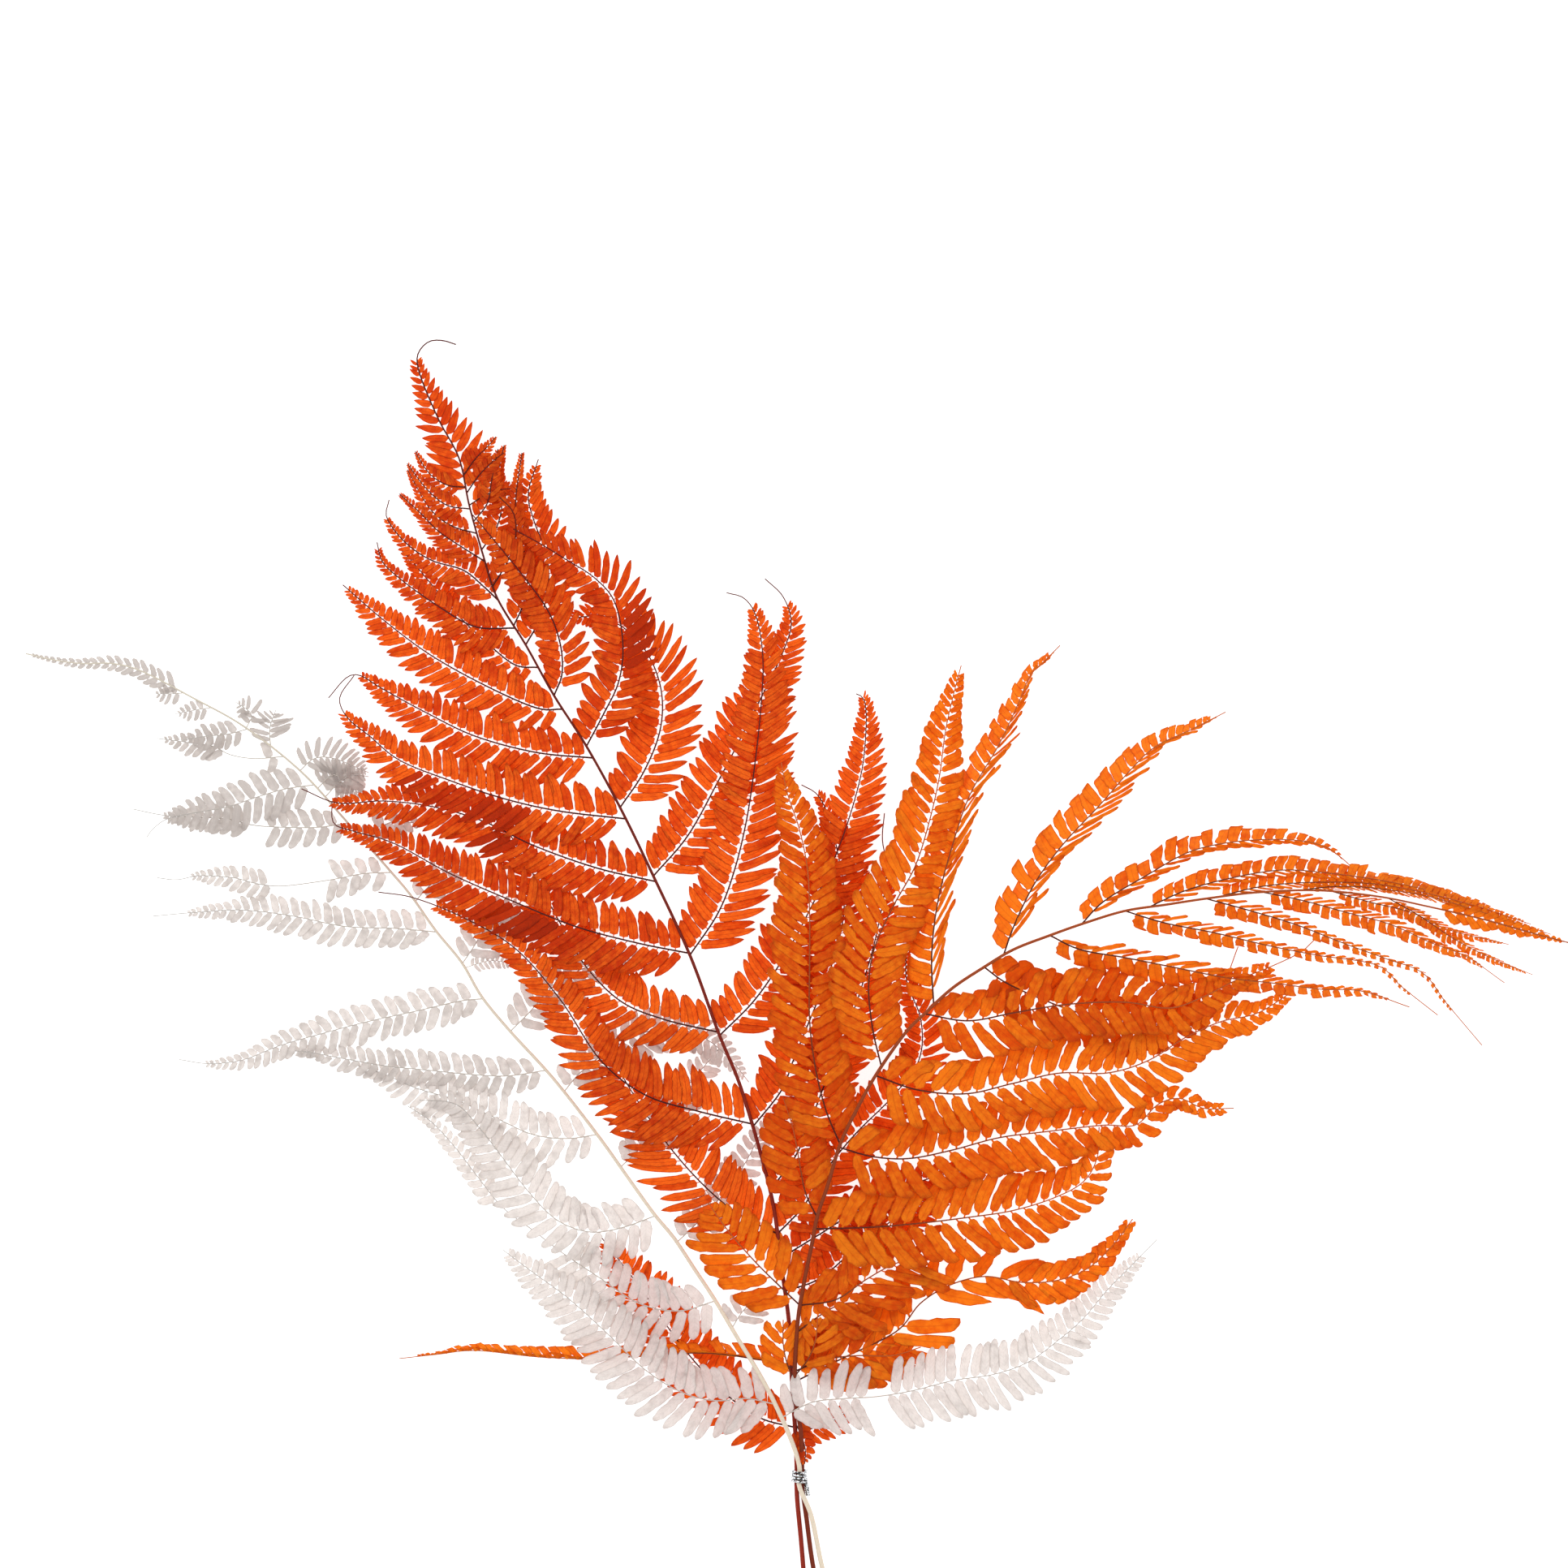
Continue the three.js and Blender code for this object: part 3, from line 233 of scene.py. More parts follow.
ORANGE = dict(
    stem=[
        (14, -90, LYING), (10.4, -66, LYING), (6, -40, LYING), (3.4, -20, 1.4),
        (TIE_HALF_SPREAD, -TIE_ZONE, TIE_LOW_Z), (TIE_HALF_SPREAD, TIE_ZONE, TIE_LOW_Z), (0.8, 21, 7),
        (-2.2, 45, 11.5), (-1, 75, 17), (2, 95, 21), (6, 115, 25), (9, 130, 28), (14, 145, 30), (20, 165, 33),
        (28, 182, 36), (38, 200, 38), (52, 220, 40), (62, 230, 41), (75, 242, 42), (90, 252, 42), (105, 261, 42),
        (123, 268, 41), (140, 274, 40), (160, 280, 38), (180, 283, 36), (200, 286, 34), (225, 289, 31), (255, 290, 27),
        (285, 287, 22), (310, 282, 17), (340, 275, 11), (365, 268, 5.5), (388, 262, 0.5),
    ],
    apex=dict(base=(312, 281), end=(386, 263), reach=9, fall=(0, 0.9), lean=50, thread=10),
    pinnae=[
        dict(reach=20, tip_z=0.6, arch=4, lean=38, spacing=9, width=1.1, bare=(0.35, 0.62), fall=(0.4, 1),
             at=LOWEST_RIGHT),
        dict(reach=18, tip_z=0.6, arch=4, lean=40, spacing=15, width=0.7, bare=(0, 0.37, 0.64, 1), rib=False, age=0.2,
             outline=LANCE, at=LOWEST_RIGHT),
        dict(reach=20, tip_z=16, arch=2, lean=34, fall=(0.7, 2), age=0.5,
             at=[(0, 85), (18, 88), (33, 98), (48, 106), (60, 107), (64, 98)]),
        dict(reach=15, tip_z=9, arch=2, lean=30, age=0.7, at=[(-2, 52), (12, 58), (28, 60), (46, 60), (60, 64)]),
        dict(reach=13, tip_z=17, arch=1, lean=40, age=0.5, at=[(-1, 72), (10, 80), (22, 86), (38, 86)]),
        dict(reach=11, tip_z=18, arch=0, lean=40, age=0.3, at=[(-2, 47), (-6, 56), (-8, 66), (-8, 78)]),
        dict(reach=11, tip_z=20, arch=0, lean=40, age=0.3, at=[(-2, 50), (4, 58), (8, 68), (9, 80)]),
        dict(reach=19, tip_z=14, arch=3,
             at=[(9, 123), (35, 124), (60, 126), (85, 129), (105, 132), (125, 138), (140, 146), (147, 158),
                 (148, 173)]),
        dict(reach=18, tip_z=4, arch=4, thread=6, fall=(0.45, 0.8),
             at=[(21, 163), (36, 159), (54, 158), (75, 162), (98, 168), (122, 171), (150, 174), (166, 174), (177, 184),
                 (188, 187), (200, 182), (215, 182)]),
        dict(reach=18, tip_z=5, arch=5,
             at=[(37, 199), (58, 192), (82, 190), (105, 195), (128, 200), (152, 200), (172, 206), (190, 217),
                 (208, 225), (226, 229), (243, 239)]),
        dict(reach=17, tip_z=12, arch=4, thread=26, fall=(0.45, 1), age=0.5,
             at=[(62, 229), (83, 226), (106, 230), (132, 234), (160, 235), (182, 232), (198, 237), (214, 245),
                 (232, 252), (247, 259), (254, 265)]),
        dict(reach=15, tip_z=6, arch=-6, thread=18, age=0.9, dark=(0.1, 0.75),
             at=[(91, 252), (101, 245), (118, 237), (140, 229), (165, 224), (185, 225), (199, 233), (210, 245),
                 (217, 262)]),
        dict(reach=12, tip_z=1, arch=3, thread=12, edge_on=1, age=0.3, fall=(0.35, 1.2),
             at=[(123, 268), (138, 261), (160, 257), (185, 252), (210, 247), (235, 244), (258, 241), (278, 240),
                 (302, 232)]),
        dict(reach=10, tip_z=0.6, arch=3, thread=18, edge_on=1, age=0.2, fall=(0.2, 0.7),
             at=[(160, 280), (180, 274), (205, 269), (230, 263), (255, 258), (285, 253), (298, 242), (316, 228)]),
        dict(reach=9, tip_z=0.6, arch=2, thread=24, edge_on=1, age=0.2, fall=(0.15, 0.65),
             at=[(200, 286), (222, 280), (245, 273), (268, 264), (290, 256), (308, 249), (320, 234), (338, 213)]),
        dict(reach=8, tip_z=2, arch=0, edge_on=1, thread=14, age=0.15,
             at=[(228, 289), (248, 285), (270, 279), (292, 273), (312, 264), (330, 257), (349, 244)]),
        dict(reach=6, tip_z=3, arch=0, edge_on=1, age=0.1,
             at=[(262, 289), (282, 284), (302, 279), (322, 270), (351, 263)]),
        dict(reach=5, tip_z=1.5, arch=-1, edge_on=1, age=0.05,
             at=[(290, 286), (305, 278), (325, 265), (345, 255), (363, 248)]),
        dict(reach=9, tip_z=1.5, arch=-2, lean=42, edge_on=1, thread=10,
             at=[(-3, 54), (-20, 58), (-45, 61), (-72, 60), (-100, 58), (-130, 59), (-160, 62), (-180, 60),
                 (-198, 58)]),
        dict(reach=19, tip_z=25, arch=1, age=0.3, at=[(0, 85), (-10, 95), (-22, 107), (-35, 122), (-45, 136)]),
        dict(reach=16, tip_z=27, arch=1, age=0.65, at=[(9, 129), (3, 141), (0, 156), (-3, 172), (-8, 188)]),
        dict(reach=18, tip_z=27, arch=4, age=0.5, spacing=6,
             at=[(20, 165), (13, 182), (8, 202), (5, 226), (5, 252), (5, 278), (4, 300), (0, 320), (-6, 338),
                 (-9, 353)]),
        dict(reach=17, tip_z=8, arch=8, thread=5, age=0.35, spacing=6.4,
             at=[(39, 204), (36, 222), (34, 243), (37, 262), (46, 282), (57, 302), (64, 324), (69, 346), (72, 368),
                 (76, 386), (80, 401)]),
        dict(reach=16, tip_z=3, arch=4, thread=7, edge_on=-1, spacing=6.4, width=1.05,
             at=[(65, 235), (65, 258), (68, 284), (75, 311), (84, 337), (98, 361), (108, 382), (114, 396), (121, 403),
                 (129, 411)]),
        dict(reach=16, tip_z=1, arch=5, thread=8, edge_on=-1, spacing=6.4, width=1.05,
             at=[(100, 259), (106, 274), (116, 294), (130, 313), (148, 332), (164, 350), (176, 361), (193, 369),
                 (211, 378)]),
        dict(reach=11, tip_z=12, arch=4, thread=12, edge_on=-1, age=0.3,
             at=[(138, 275), (150, 285), (170, 297), (192, 309), (215, 314), (240, 315), (258, 312), (270, 304),
                 (275, 298)]),
        dict(reach=9, tip_z=4, arch=5, edge_on=-1, age=0.2,
             at=[(172, 282), (190, 290), (212, 296), (238, 300), (265, 298), (292, 294), (318, 288), (345, 280)]),
        dict(reach=7, tip_z=3, arch=3, edge_on=-1, age=0.1,
             at=[(206, 287), (228, 292), (255, 294), (285, 293), (312, 288), (338, 281), (362, 273)]),
        dict(reach=5, tip_z=2, arch=2, edge_on=-1, age=0.05,
             at=[(245, 290), (268, 292), (292, 290), (318, 285), (372, 268)]),
    ],
)

WHITE = dict(
    stem=[
        (22, -86, LYING), (17, -66, LYING), (11, -44, 2.1), (6, -20, 4.2),
        (0, -TIE_ZONE, TIE_HIGH_Z), (0, TIE_ZONE, TIE_HIGH_Z), (-4, 18, 9), (-10, 32, 14.2), (-18, 48, 16),
        (-30, 68, 15.5), (-42, 88, 13.2), (-52, 103, 11), (-62, 118, 9), (-72, 130, 7.5), (-85, 148, 6),
        (-100, 169, 5.5), (-122, 197, 5), (-143, 220, 5), (-157, 237, 5), (-167, 254, 5), (-180, 270, 5),
        (-192, 287, 5), (-203, 300, 5), (-225, 325, 5), (-247, 349, 5), (-275, 371, 5), (-300, 385, 4.5),
        (-325, 398, 3.5), (-340, 402, 2.8), (-355, 402, 2.2), (-370, 404, 1.4), (-383, 407, 0.5),
    ],
    apex=dict(base=(-305, 388), end=(-383, 407), reach=7, fall=(0, 0.9), lean=40, thread=4, age=0.95),
    pinnae=[
        dict(reach=18, tip_z=2, arch=5, width=1.02, age=0.0,
             at=[(-12, 36), (-26, 39), (-42, 38), (-58, 42), (-76, 53), (-95, 71), (-114, 88), (-132, 101),
                 (-147, 112)]),
        dict(reach=15, tip_z=0.6, arch=-3, bare=(0.43, 0.66), fall=(0.2, 0.9), width=0.98, age=0.0,
             at=[(-42, 87), (-60, 82), (-80, 86), (-100, 99), (-118, 111), (-131, 121), (-147, 133), (-160, 149),
                 (-170, 162), (-182, 175), (-194, 183)]),
        dict(reach=15, tip_z=2, arch=4, width=1.0, age=0.0,
             at=[(-72, 128), (-88, 123), (-104, 121), (-120, 127), (-134, 141), (-147, 158), (-158, 172), (-170, 184),
                 (-188, 186)]),
        dict(reach=13, tip_z=2, arch=-1, down=(12, 12), age=0.1,
             at=[(-100, 169), (-115, 167), (-132, 169), (-150, 177), (-170, 186), (-190, 192), (-206, 199),
                 (-222, 204)]),
        dict(reach=11, tip_z=2, arch=3, down=(34, 28),
             at=[(-127, 199), (-145, 198), (-165, 199), (-185, 201), (-205, 203), (-228, 207), (-245, 210),
                 (-258, 210)]),
        dict(reach=11, tip_z=1, arch=3, down=(24, 28), thread=14,
             at=[(-157, 236), (-168, 235), (-190, 230), (-213, 225), (-236, 219), (-257, 213), (-275, 206),
                 (-292, 204), (-307, 206)]),
        dict(reach=11, tip_z=1, arch=3, down=(28, 24), thread=18,
             at=[(-180, 269), (-200, 271), (-225, 272), (-250, 277), (-275, 280), (-297, 279), (-320, 277)]),
        dict(reach=10, tip_z=0.6, arch=2, down=(20, 20), bare=(0.26, 0.52), thread=18,
             at=[(-203, 298), (-216, 298), (-232, 295), (-255, 292), (-268, 293), (-280, 296), (-297, 297),
                 (-308, 295), (-318, 296)]),
        dict(reach=10, tip_z=1, arch=0, down=(16, 16), bare=(0.36, 0.45), thread=16, age=0.7,
             at=[(-224, 322), (-238, 321), (-255, 321), (-270, 322), (-283, 325), (-300, 326), (-315, 327),
                 (-330, 330)]),
        dict(reach=12, tip_z=2, arch=5, thread=14, age=0.8,
             at=[(-240, 342), (-254, 340), (-268, 336), (-283, 331), (-300, 328), (-313, 325), (-320, 320),
                 (-323, 316)]),
        dict(reach=8, tip_z=0.6, arch=-1, bare=(0.16, 0.46), age=0.85,
             at=[(-256, 355), (-270, 355), (-282, 357), (-290, 361), (-303, 363), (-318, 365)]),
        dict(reach=7, tip_z=4, arch=2, age=0.9, at=[(-273, 369), (-283, 367), (-294, 366), (-306, 364)]),
        dict(reach=5, tip_z=3, arch=0, thread=2, age=0.9, at=[(-291, 380), (-299, 379), (-309, 377)]),
        dict(reach=5, tip_z=3, arch=0, thread=2, age=0.9, at=[(-305, 387), (-312, 387), (-320, 387)]),
        dict(reach=17, tip_z=2, arch=9, bare=(0.2, 0.25), thread=12, width=0.95, lean=12, age=0.0,
             at=[(-8, 30), (6, 37), (22, 39), (38, 40), (56, 43), (76, 48), (96, 51), (113, 57), (127, 67), (140, 78),
                 (152, 92), (164, 104), (177, 117)]),
        dict(reach=10, tip_z=13, arch=0, thread=3, at=[(-33, 74), (-28, 82), (-20, 90)]),
        dict(reach=11, tip_z=4, arch=0, at=[(-60, 116), (-52, 124), (-39, 138), (-28, 153), (-20, 168), (-14, 180)]),
        dict(reach=12, tip_z=4, arch=0, at=[(-88, 153), (-78, 163), (-66, 177), (-56, 192), (-46, 204), (-36, 216)]),
        dict(reach=12, tip_z=8, arch=2,
             at=[(-117, 190), (-108, 200), (-92, 212), (-75, 220), (-58, 222), (-44, 215), (-33, 205), (-25, 195)]),
        dict(reach=12, tip_z=5, arch=1,
             at=[(-143, 220), (-134, 229), (-122, 242), (-105, 252), (-88, 256), (-70, 254)]),
        dict(reach=12, tip_z=6, arch=1, at=[(-166, 254), (-161, 262), (-156, 270), (-147, 279), (-136, 285)]),
        dict(reach=4, tip_z=2, arch=-1, at=[(-165, 252), (-152, 255), (-137, 252)]),
        dict(reach=9, tip_z=4, arch=0, at=[(-190, 284), (-184, 291), (-175, 298), (-163, 304)]),
        dict(reach=9, tip_z=4, arch=0, age=0.6, at=[(-213, 311), (-207, 321), (-198, 324), (-186, 322)]),
        dict(reach=9, tip_z=4, arch=0, age=0.9, at=[(-234, 336), (-228, 343), (-221, 347), (-213, 346)]),
        dict(reach=10, tip_z=4, arch=1, age=1.3, spacing=3.4, width=0.85, thread=2,
             at=[(-247, 349), (-240, 355), (-230, 355), (-213, 348)]),
        dict(reach=8, tip_z=2, arch=1, age=1.3, spacing=3.2, width=0.85, thread=2,
             at=[(-238, 341), (-231, 347), (-224, 343), (-215, 335)]),
        dict(reach=10, tip_z=4, arch=1, thread=2, age=1.3, spacing=3.2, width=0.85,
             at=[(-262, 361), (-262, 370), (-259, 379)]),
        dict(reach=7, tip_z=4, arch=1, thread=2, age=1.1, spacing=3.2, at=[(-274, 370), (-271, 377), (-279, 383)]),
    ],
)


# Where the frame's origin lies: the middle of the flat under the scarlet stem's cut end.
ORIGIN = np.array([*np.mean([point[:2] for point in SCARLET["stem"][:2]], axis=0), 0.0])

# Leaflets of each frond: how far apart they stand at the root of a side frond with leaflets of full length or more,
# how wide they are for their spacing, how far they bend forward, how many degrees they lean towards the tip, how much
# more the side nearer the tie does so, how ragged their edges are, how thick they and their ribs are, and how deep
# their colour has turned: the least and most of a side frond, and how much one leaflet differs.
SCARLET_LEAFLET = dict(
    spacing=5.4, full=11, width=1.0, outline=STRAP, bend=0.2, lean=19, uneven=9, ragged=0.05, thick=0.07, rib=0.44,
    ages=(0.1, 0.6, 0.28))
ORANGE_LEAFLET = dict(
    spacing=8, full=12, width=0.97, outline=SQUARE, bend=0.16, lean=24, uneven=3, ragged=0.1, thick=0.07, rib=0.42,
    ages=(0.0, 0.35, 0.28))
WHITE_LEAFLET = dict(
    spacing=6.2, full=9, width=0.84, outline=OBLONG, bend=0.1, lean=17, uneven=3, ragged=0.07, thick=0.05, rib=0.3,
    ages=(0.3, 0.55, 0.15))


class Route:
    """A smooth curve through points. Between two points it is the cubic whose ends have half the chord from the
    point before to the point after as their slope, and places on it are told by their share of its length."""

    STEPS = 40

    def __init__(self, points):
        points = np.array(points, dtype=float)
        ends = [2 * points[0] - points[1], 2 * points[-1] - points[-2]]
        knots = np.vstack([ends[0], points, ends[1]])
        u = np.linspace(0, 1, self.STEPS, endpoint=False)[None, :, None]
        a, b, c, d = (knots[i:len(knots) - 3 + i][:, None, :] for i in range(4))
        slope_in, slope_out = (c - a) / 2, (d - b) / 2
        cubic = b + slope_in * u + (3 * (c - b) - 2 * slope_in - slope_out) * u**2
        cubic = cubic + (2 * (b - c) + slope_in + slope_out) * u**3
        self.samples = np.vstack([cubic.reshape(-1, points.shape[1]), points[-1]])
        steps = np.linalg.norm(np.diff(self.samples, axis=0), axis=1)
        self.walked = np.concatenate([[0], np.cumsum(steps)])
        self.length = self.walked[-1]

    def at(self, shares):
        """The points at these shares of the length."""
        walked = np.clip(np.atleast_1d(shares), 0, 1) * self.length
        return np.column_stack([np.interp(walked, self.walked, column) for column in self.samples.T])

    def share_near(self, x, y):
        """The share of the length at which the curve passes nearest to a point of the table."""
        nearest = np.argmin(np.hypot(self.samples[:, 0] - x, self.samples[:, 1] - y))
        return self.walked[nearest] / self.length


def unit(vectors):
    return vectors / np.linalg.norm(vectors, axis=-1, keepdims=True)


def frames(place, shares):
    """The directions forward, level to the left, and above, at shares of a route given as a function."""
    step = 0.004
    forward = unit(place(np.minimum(shares + step, 1)) - place(np.maximum(shares - step, 0)))
    left = unit(np.cross([0.0, 0.0, 1.0], forward))
    return forward, left, np.cross(forward, left)


class Shells:
    """Vertices, quads, and for each vertex a place on its own surface and a tone, gathered for one mesh."""

    def __init__(self):
        self.points, self.quads, self.surface, self.tones = [], [], [], []
        self.count = 0

    def add(self, grid, surface, tones):
        """Adds rows of closed rings: grid is (shells, rings, corners, 3), surface (shells, rings, corners, 2) and
        tones (shells). Ring meets ring in quads, and the first and last ring are each closed by flat faces."""
        shells, rings, corners, _ = grid.shape
        numbers = self.count + np.arange(shells * rings * corners).reshape(shells, rings, corners)
        turned = np.roll(numbers, -1, axis=2)
        walls = np.stack([numbers[:, :-1], turned[:, :-1], turned[:, 1:], numbers[:, 1:]], axis=-1)
        self.quads.append(walls.reshape(-1, 4))
        for ring, order in ((0, -1), (-1, 1)):
            caps = numbers[:, ring, ::order]
            for k in range(1, corners - 1, 2):
                self.quads.append(caps[:, [0, k, k + 1, (k + 2) % corners]])
        self.points.append(grid.reshape(-1, 3))
        self.surface.append(surface.reshape(-1, 2))
        self.tones.append(np.repeat(tones, rings * corners))
        self.count += shells * rings * corners

    def piece(self, name, material):
        """The finished mesh, in metres from the frame's origin."""
        points = (np.vstack(self.points) - ORIGIN) * MM
        quads = np.vstack(self.quads)
        mesh = bpy.data.meshes.new(name)
        mesh.from_pydata(points.tolist(), [], quads.tolist())
        uv = mesh.uv_layers.new(name="surface")
        uv.data.foreach_set("uv", np.vstack(self.surface)[quads.ravel()].astype(np.float32).ravel())
        tone = mesh.attributes.new("tone", "FLOAT", "POINT")
        tone.data.foreach_set("value", np.concatenate(self.tones).astype(np.float32))
        mesh.polygons.foreach_set("use_smooth", np.ones(len(mesh.polygons), dtype=bool))
        mesh.materials.append(material)
        mesh.update()
        mesh.set_sharp_from_angle(angle=np.radians(SMOOTHED_UP_TO))
        piece = bpy.data.objects.new(name, mesh)
        bpy.context.scene.collection.objects.link(piece)
        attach(piece, "root")
        return piece


def add_tube(shells, centres, radii, sides, forward, left, above, tone=0):
    """A tube: round each centre, radius * (sin of the angle above - cos of the angle to the left), once round. Where
    it would dip into the table, its underside is flat."""
    angle = 2 * np.pi * np.arange(sides) / sides
    ring = left[:, None] * -np.cos(angle)[None, :, None] + above[:, None] * np.sin(angle)[None, :, None]
    grid = centres[:, None] + ring * np.asarray(radii)[:, None, None]
    grid[..., 2] = np.maximum(grid[..., 2], ON_TABLE)
    shares = np.linspace(0, 1, len(centres))
    surface = np.stack(np.broadcast_arrays(shares[:, None], (angle / (2 * np.pi))[None]), axis=-1)
    shells.add(grid[None], surface[None], np.array([float(tone)]))


def add_leaflets(shells, root, out, along, up, length, half, roll, tones, kind, rng):
    """Leaflets, all at once. At share u of its length a leaflet's midline is root + length * (u * out
    + bend * u^2 * along - curl * u^2 * up). Its section has four corners: the two edges, at the half width times
    outline(u) and a ragged factor, folded up or down, and the midvein, above and below. Roll turns it about the
    midline, and its tip is cut off slanting, with the edge nearer the side frond's tip ahead. A leaflet that would
    dip into the table is lifted onto it."""
    count = len(root)
    u, share = np.array(kind["outline"]).T
    curl = rng.normal(*CURL, count)
    bend = kind["bend"] * rng.uniform(*BEND, count)
    twist = roll[:, None] + rng.normal(0, TWIST, count)[:, None] * u
    fold = rng.uniform(*FOLD, count)
    squared = (u**2)[None, :, None]
    stretch = length[:, None, None]
    midline = root[:, None] + stretch * u[None, :, None] * out[:, None]
    midline = midline + stretch * squared * (bend[:, None, None] * along[:, None] - curl[:, None, None] * up[:, None])
    tangent = unit(np.gradient(midline, axis=1))
    across = unit(np.cross(np.broadcast_to(up[:, None], tangent.shape), tangent))
    normal = np.cross(tangent, across)
    across, normal = (across * np.cos(twist)[..., None] + normal * np.sin(twist)[..., None],
                      normal * np.cos(twist)[..., None] - across * np.sin(twist)[..., None])
    reach = half[:, None] * share
    ragged = 1 + rng.normal(0, kind["ragged"], (2, count, len(u)))
    rise = (fold[:, None] * reach)[..., None] * normal
    leading = np.sign(np.sum(across * along[:, None], axis=(1, 2)))
    slant = SLANT * (leading[:, None] * reach * u)[..., None] * tangent
    thick = kind["thick"] * np.maximum(share, 0.2)[None, :, None] * normal
    grid = np.stack([
        midline + (reach * ragged[0])[..., None] * across + rise + slant,
        midline + thick,
        midline - (reach * ragged[1])[..., None] * across + rise - slant,
        midline - thick,
    ], axis=2)
    dip = np.maximum(0, CLEARANCE - grid[..., 2].min(axis=(1, 2)))
    grid[..., 2] += dip[:, None, None] * np.minimum(1, u * 3)[None, :, None]
    grid[..., 2] = np.maximum(grid[..., 2], [[[CLEARANCE / 2, CLEARANCE, CLEARANCE / 2, ON_TABLE]]])
    surface = np.broadcast_to(np.stack(np.broadcast_arrays(u[:, None], [0, 0.5, 1, 0.5]), axis=-1),
                              (count, len(u), 4, 2))
    shells.add(grid, surface, tones)


def leaflet_share(s, fall):
    """How long a leaflet is, at share s of the leafy stretch: ROOT_SHARE at the root, full from ROOT_STRETCH on, then
    falling away to TIP_SHARE."""
    start, power = fall
    root = ROOT_SHARE + (1 - ROOT_SHARE) * np.minimum(1, s / ROOT_STRETCH)
    return root * (1 - (1 - TIP_SHARE) * np.maximum(0, (s - start) / (1 - start)) ** power)


def add_side_frond(leaves, ribs, place, length, kind, rng, reach, near_side, thread=None, lean=None, spacing=None,
                   width=None, age=None, fall=(0.45, 1.5), down=(DROOP, DROOP), bare=(), edge_on=0, rib=True,
                   outline=None, dark=(2, 2)):
    """One rib with its two rows of leaflets. The leaflet at step t of count stands at share 1 - (1 - t)^CROWDING of
    the leafy stretch, so they stand closer together towards the tip. near_side is 1 where its left side is nearer
    the tie, and -1 where its right side is, and 0 on a tip that is its own rib. edge_on is the side whose leaflets
    have dried on edge and point far on, and the other side then hangs down in blocks."""
    kind = dict(kind, outline=outline) if outline else kind
    lean = kind["lean"] if lean is None else lean
    youngest, oldest, spread = kind["ages"]
    age = rng.uniform(youngest, oldest) if age is None else age
    fullness = min(1, reach / kind["full"])
    width = width or kind["width"] * (0.8 + 0.2 * fullness)
    spacing = spacing or kind["spacing"] * fullness
    thread = min(THREAD_LENGTH, length / 9) if thread is None else thread
    first = min(FIRST_LEAFLET, length / 8) / length
    last = 1 - min(thread, length / 3) / length
    count = max(4, round((last - first) * length / spacing * CROWDING))
    steps = np.arange(count + 1) / count
    stations = first + (last - first) * (1 - (1 - steps) ** CROWDING)
    if rib:
        shares = np.linspace(0, 1, max(6, round(length / RIB_STEP)))
        thickness = kind["rib"] * (0.4 + 0.6 * fullness)
        radii = thickness * (1 - (1 - RIB_TIP_SHARE) * shares**0.8)
        add_tube(ribs, place(shares), radii, RIB_SIDES, *frames(place, shares), tone=1)
    for side in (0, 1):
        gap = np.diff(stations)
        shift = rng.normal(0, PLACE_SPREAD, count) + (STAGGER if side else -STAGGER)
        middle = (stations[:-1] + stations[1:]) / 2 + shift * gap
        kept = np.ones(count, dtype=bool)
        for low, high in zip(bare[::2], bare[1::2]):
            kept &= (middle < low) | (middle > high)
        middle, gap = middle[kept], gap[kept] * length
        number = len(middle)
        if not number:
            continue
        forward, left, above = frames(place, middle)
        sign = -1 if side else 1
        on_edge, hanging = edge_on == sign, edge_on == -sign
        tilt = np.radians(down[side] + HANGING_TILT * hanging + rng.normal(0, TILT_SPREAD, number))[:, None]
        flat = sign * left * np.cos(tilt) - above * np.sin(tilt)
        up = above * np.cos(tilt) + sign * left * np.sin(tilt)
        s = (middle - first) / (last - first)
        uneven = sign * near_side * kind["uneven"] + EDGE_LEAN * on_edge + HANGING_LEAN * hanging
        ahead = np.radians(lean + uneven + TIP_LEAN * s**3 + rng.normal(0, LEAN_SPREAD, number))[:, None]
        rolled = rng.normal(0, ROLL_SPREAD + EDGE_ROLL_SPREAD * on_edge, number)
        roll = -sign * np.radians(EDGE_ROLL * on_edge + rolled)
        out = flat * np.cos(ahead) + forward * np.sin(ahead)
        size = reach * leaflet_share(np.clip(s, 0, 1), fall) * rng.normal(1, LENGTH_SPREAD, number)
        size = size * (NEAR_SIDE_LENGTH if sign == near_side else 1)
        size = np.maximum(size / np.cos(np.minimum(ahead[:, 0], LENGTHENED_UP_TO)), SHORTEST)
        half = width * gap * np.cos(np.minimum(ahead[:, 0], NARROWED_UP_TO)) / 2
        half = np.minimum(half, size * STOUTEST + 0.2) * rng.normal(1, WIDTH_SPREAD, number)
        half = half * (EDGE_WIDTH if on_edge else 1)
        # Leaflets that lie over the next side frond within the dark stretch get a deeper tone: painted shade of the
        # overlap
        shaded_overlap = (sign == near_side) & (middle > dark[0]) & (middle < dark[1])
        tones = age + rng.uniform(-spread, spread, number) + shaded_overlap * rng.uniform(*OVERLAP_SHADE, number)
        shape = dict(kind, outline=BLOCK) if hanging else kind
        add_leaflets(leaves, place(middle), out, forward, up, size, half, roll, tones, shape, rng)


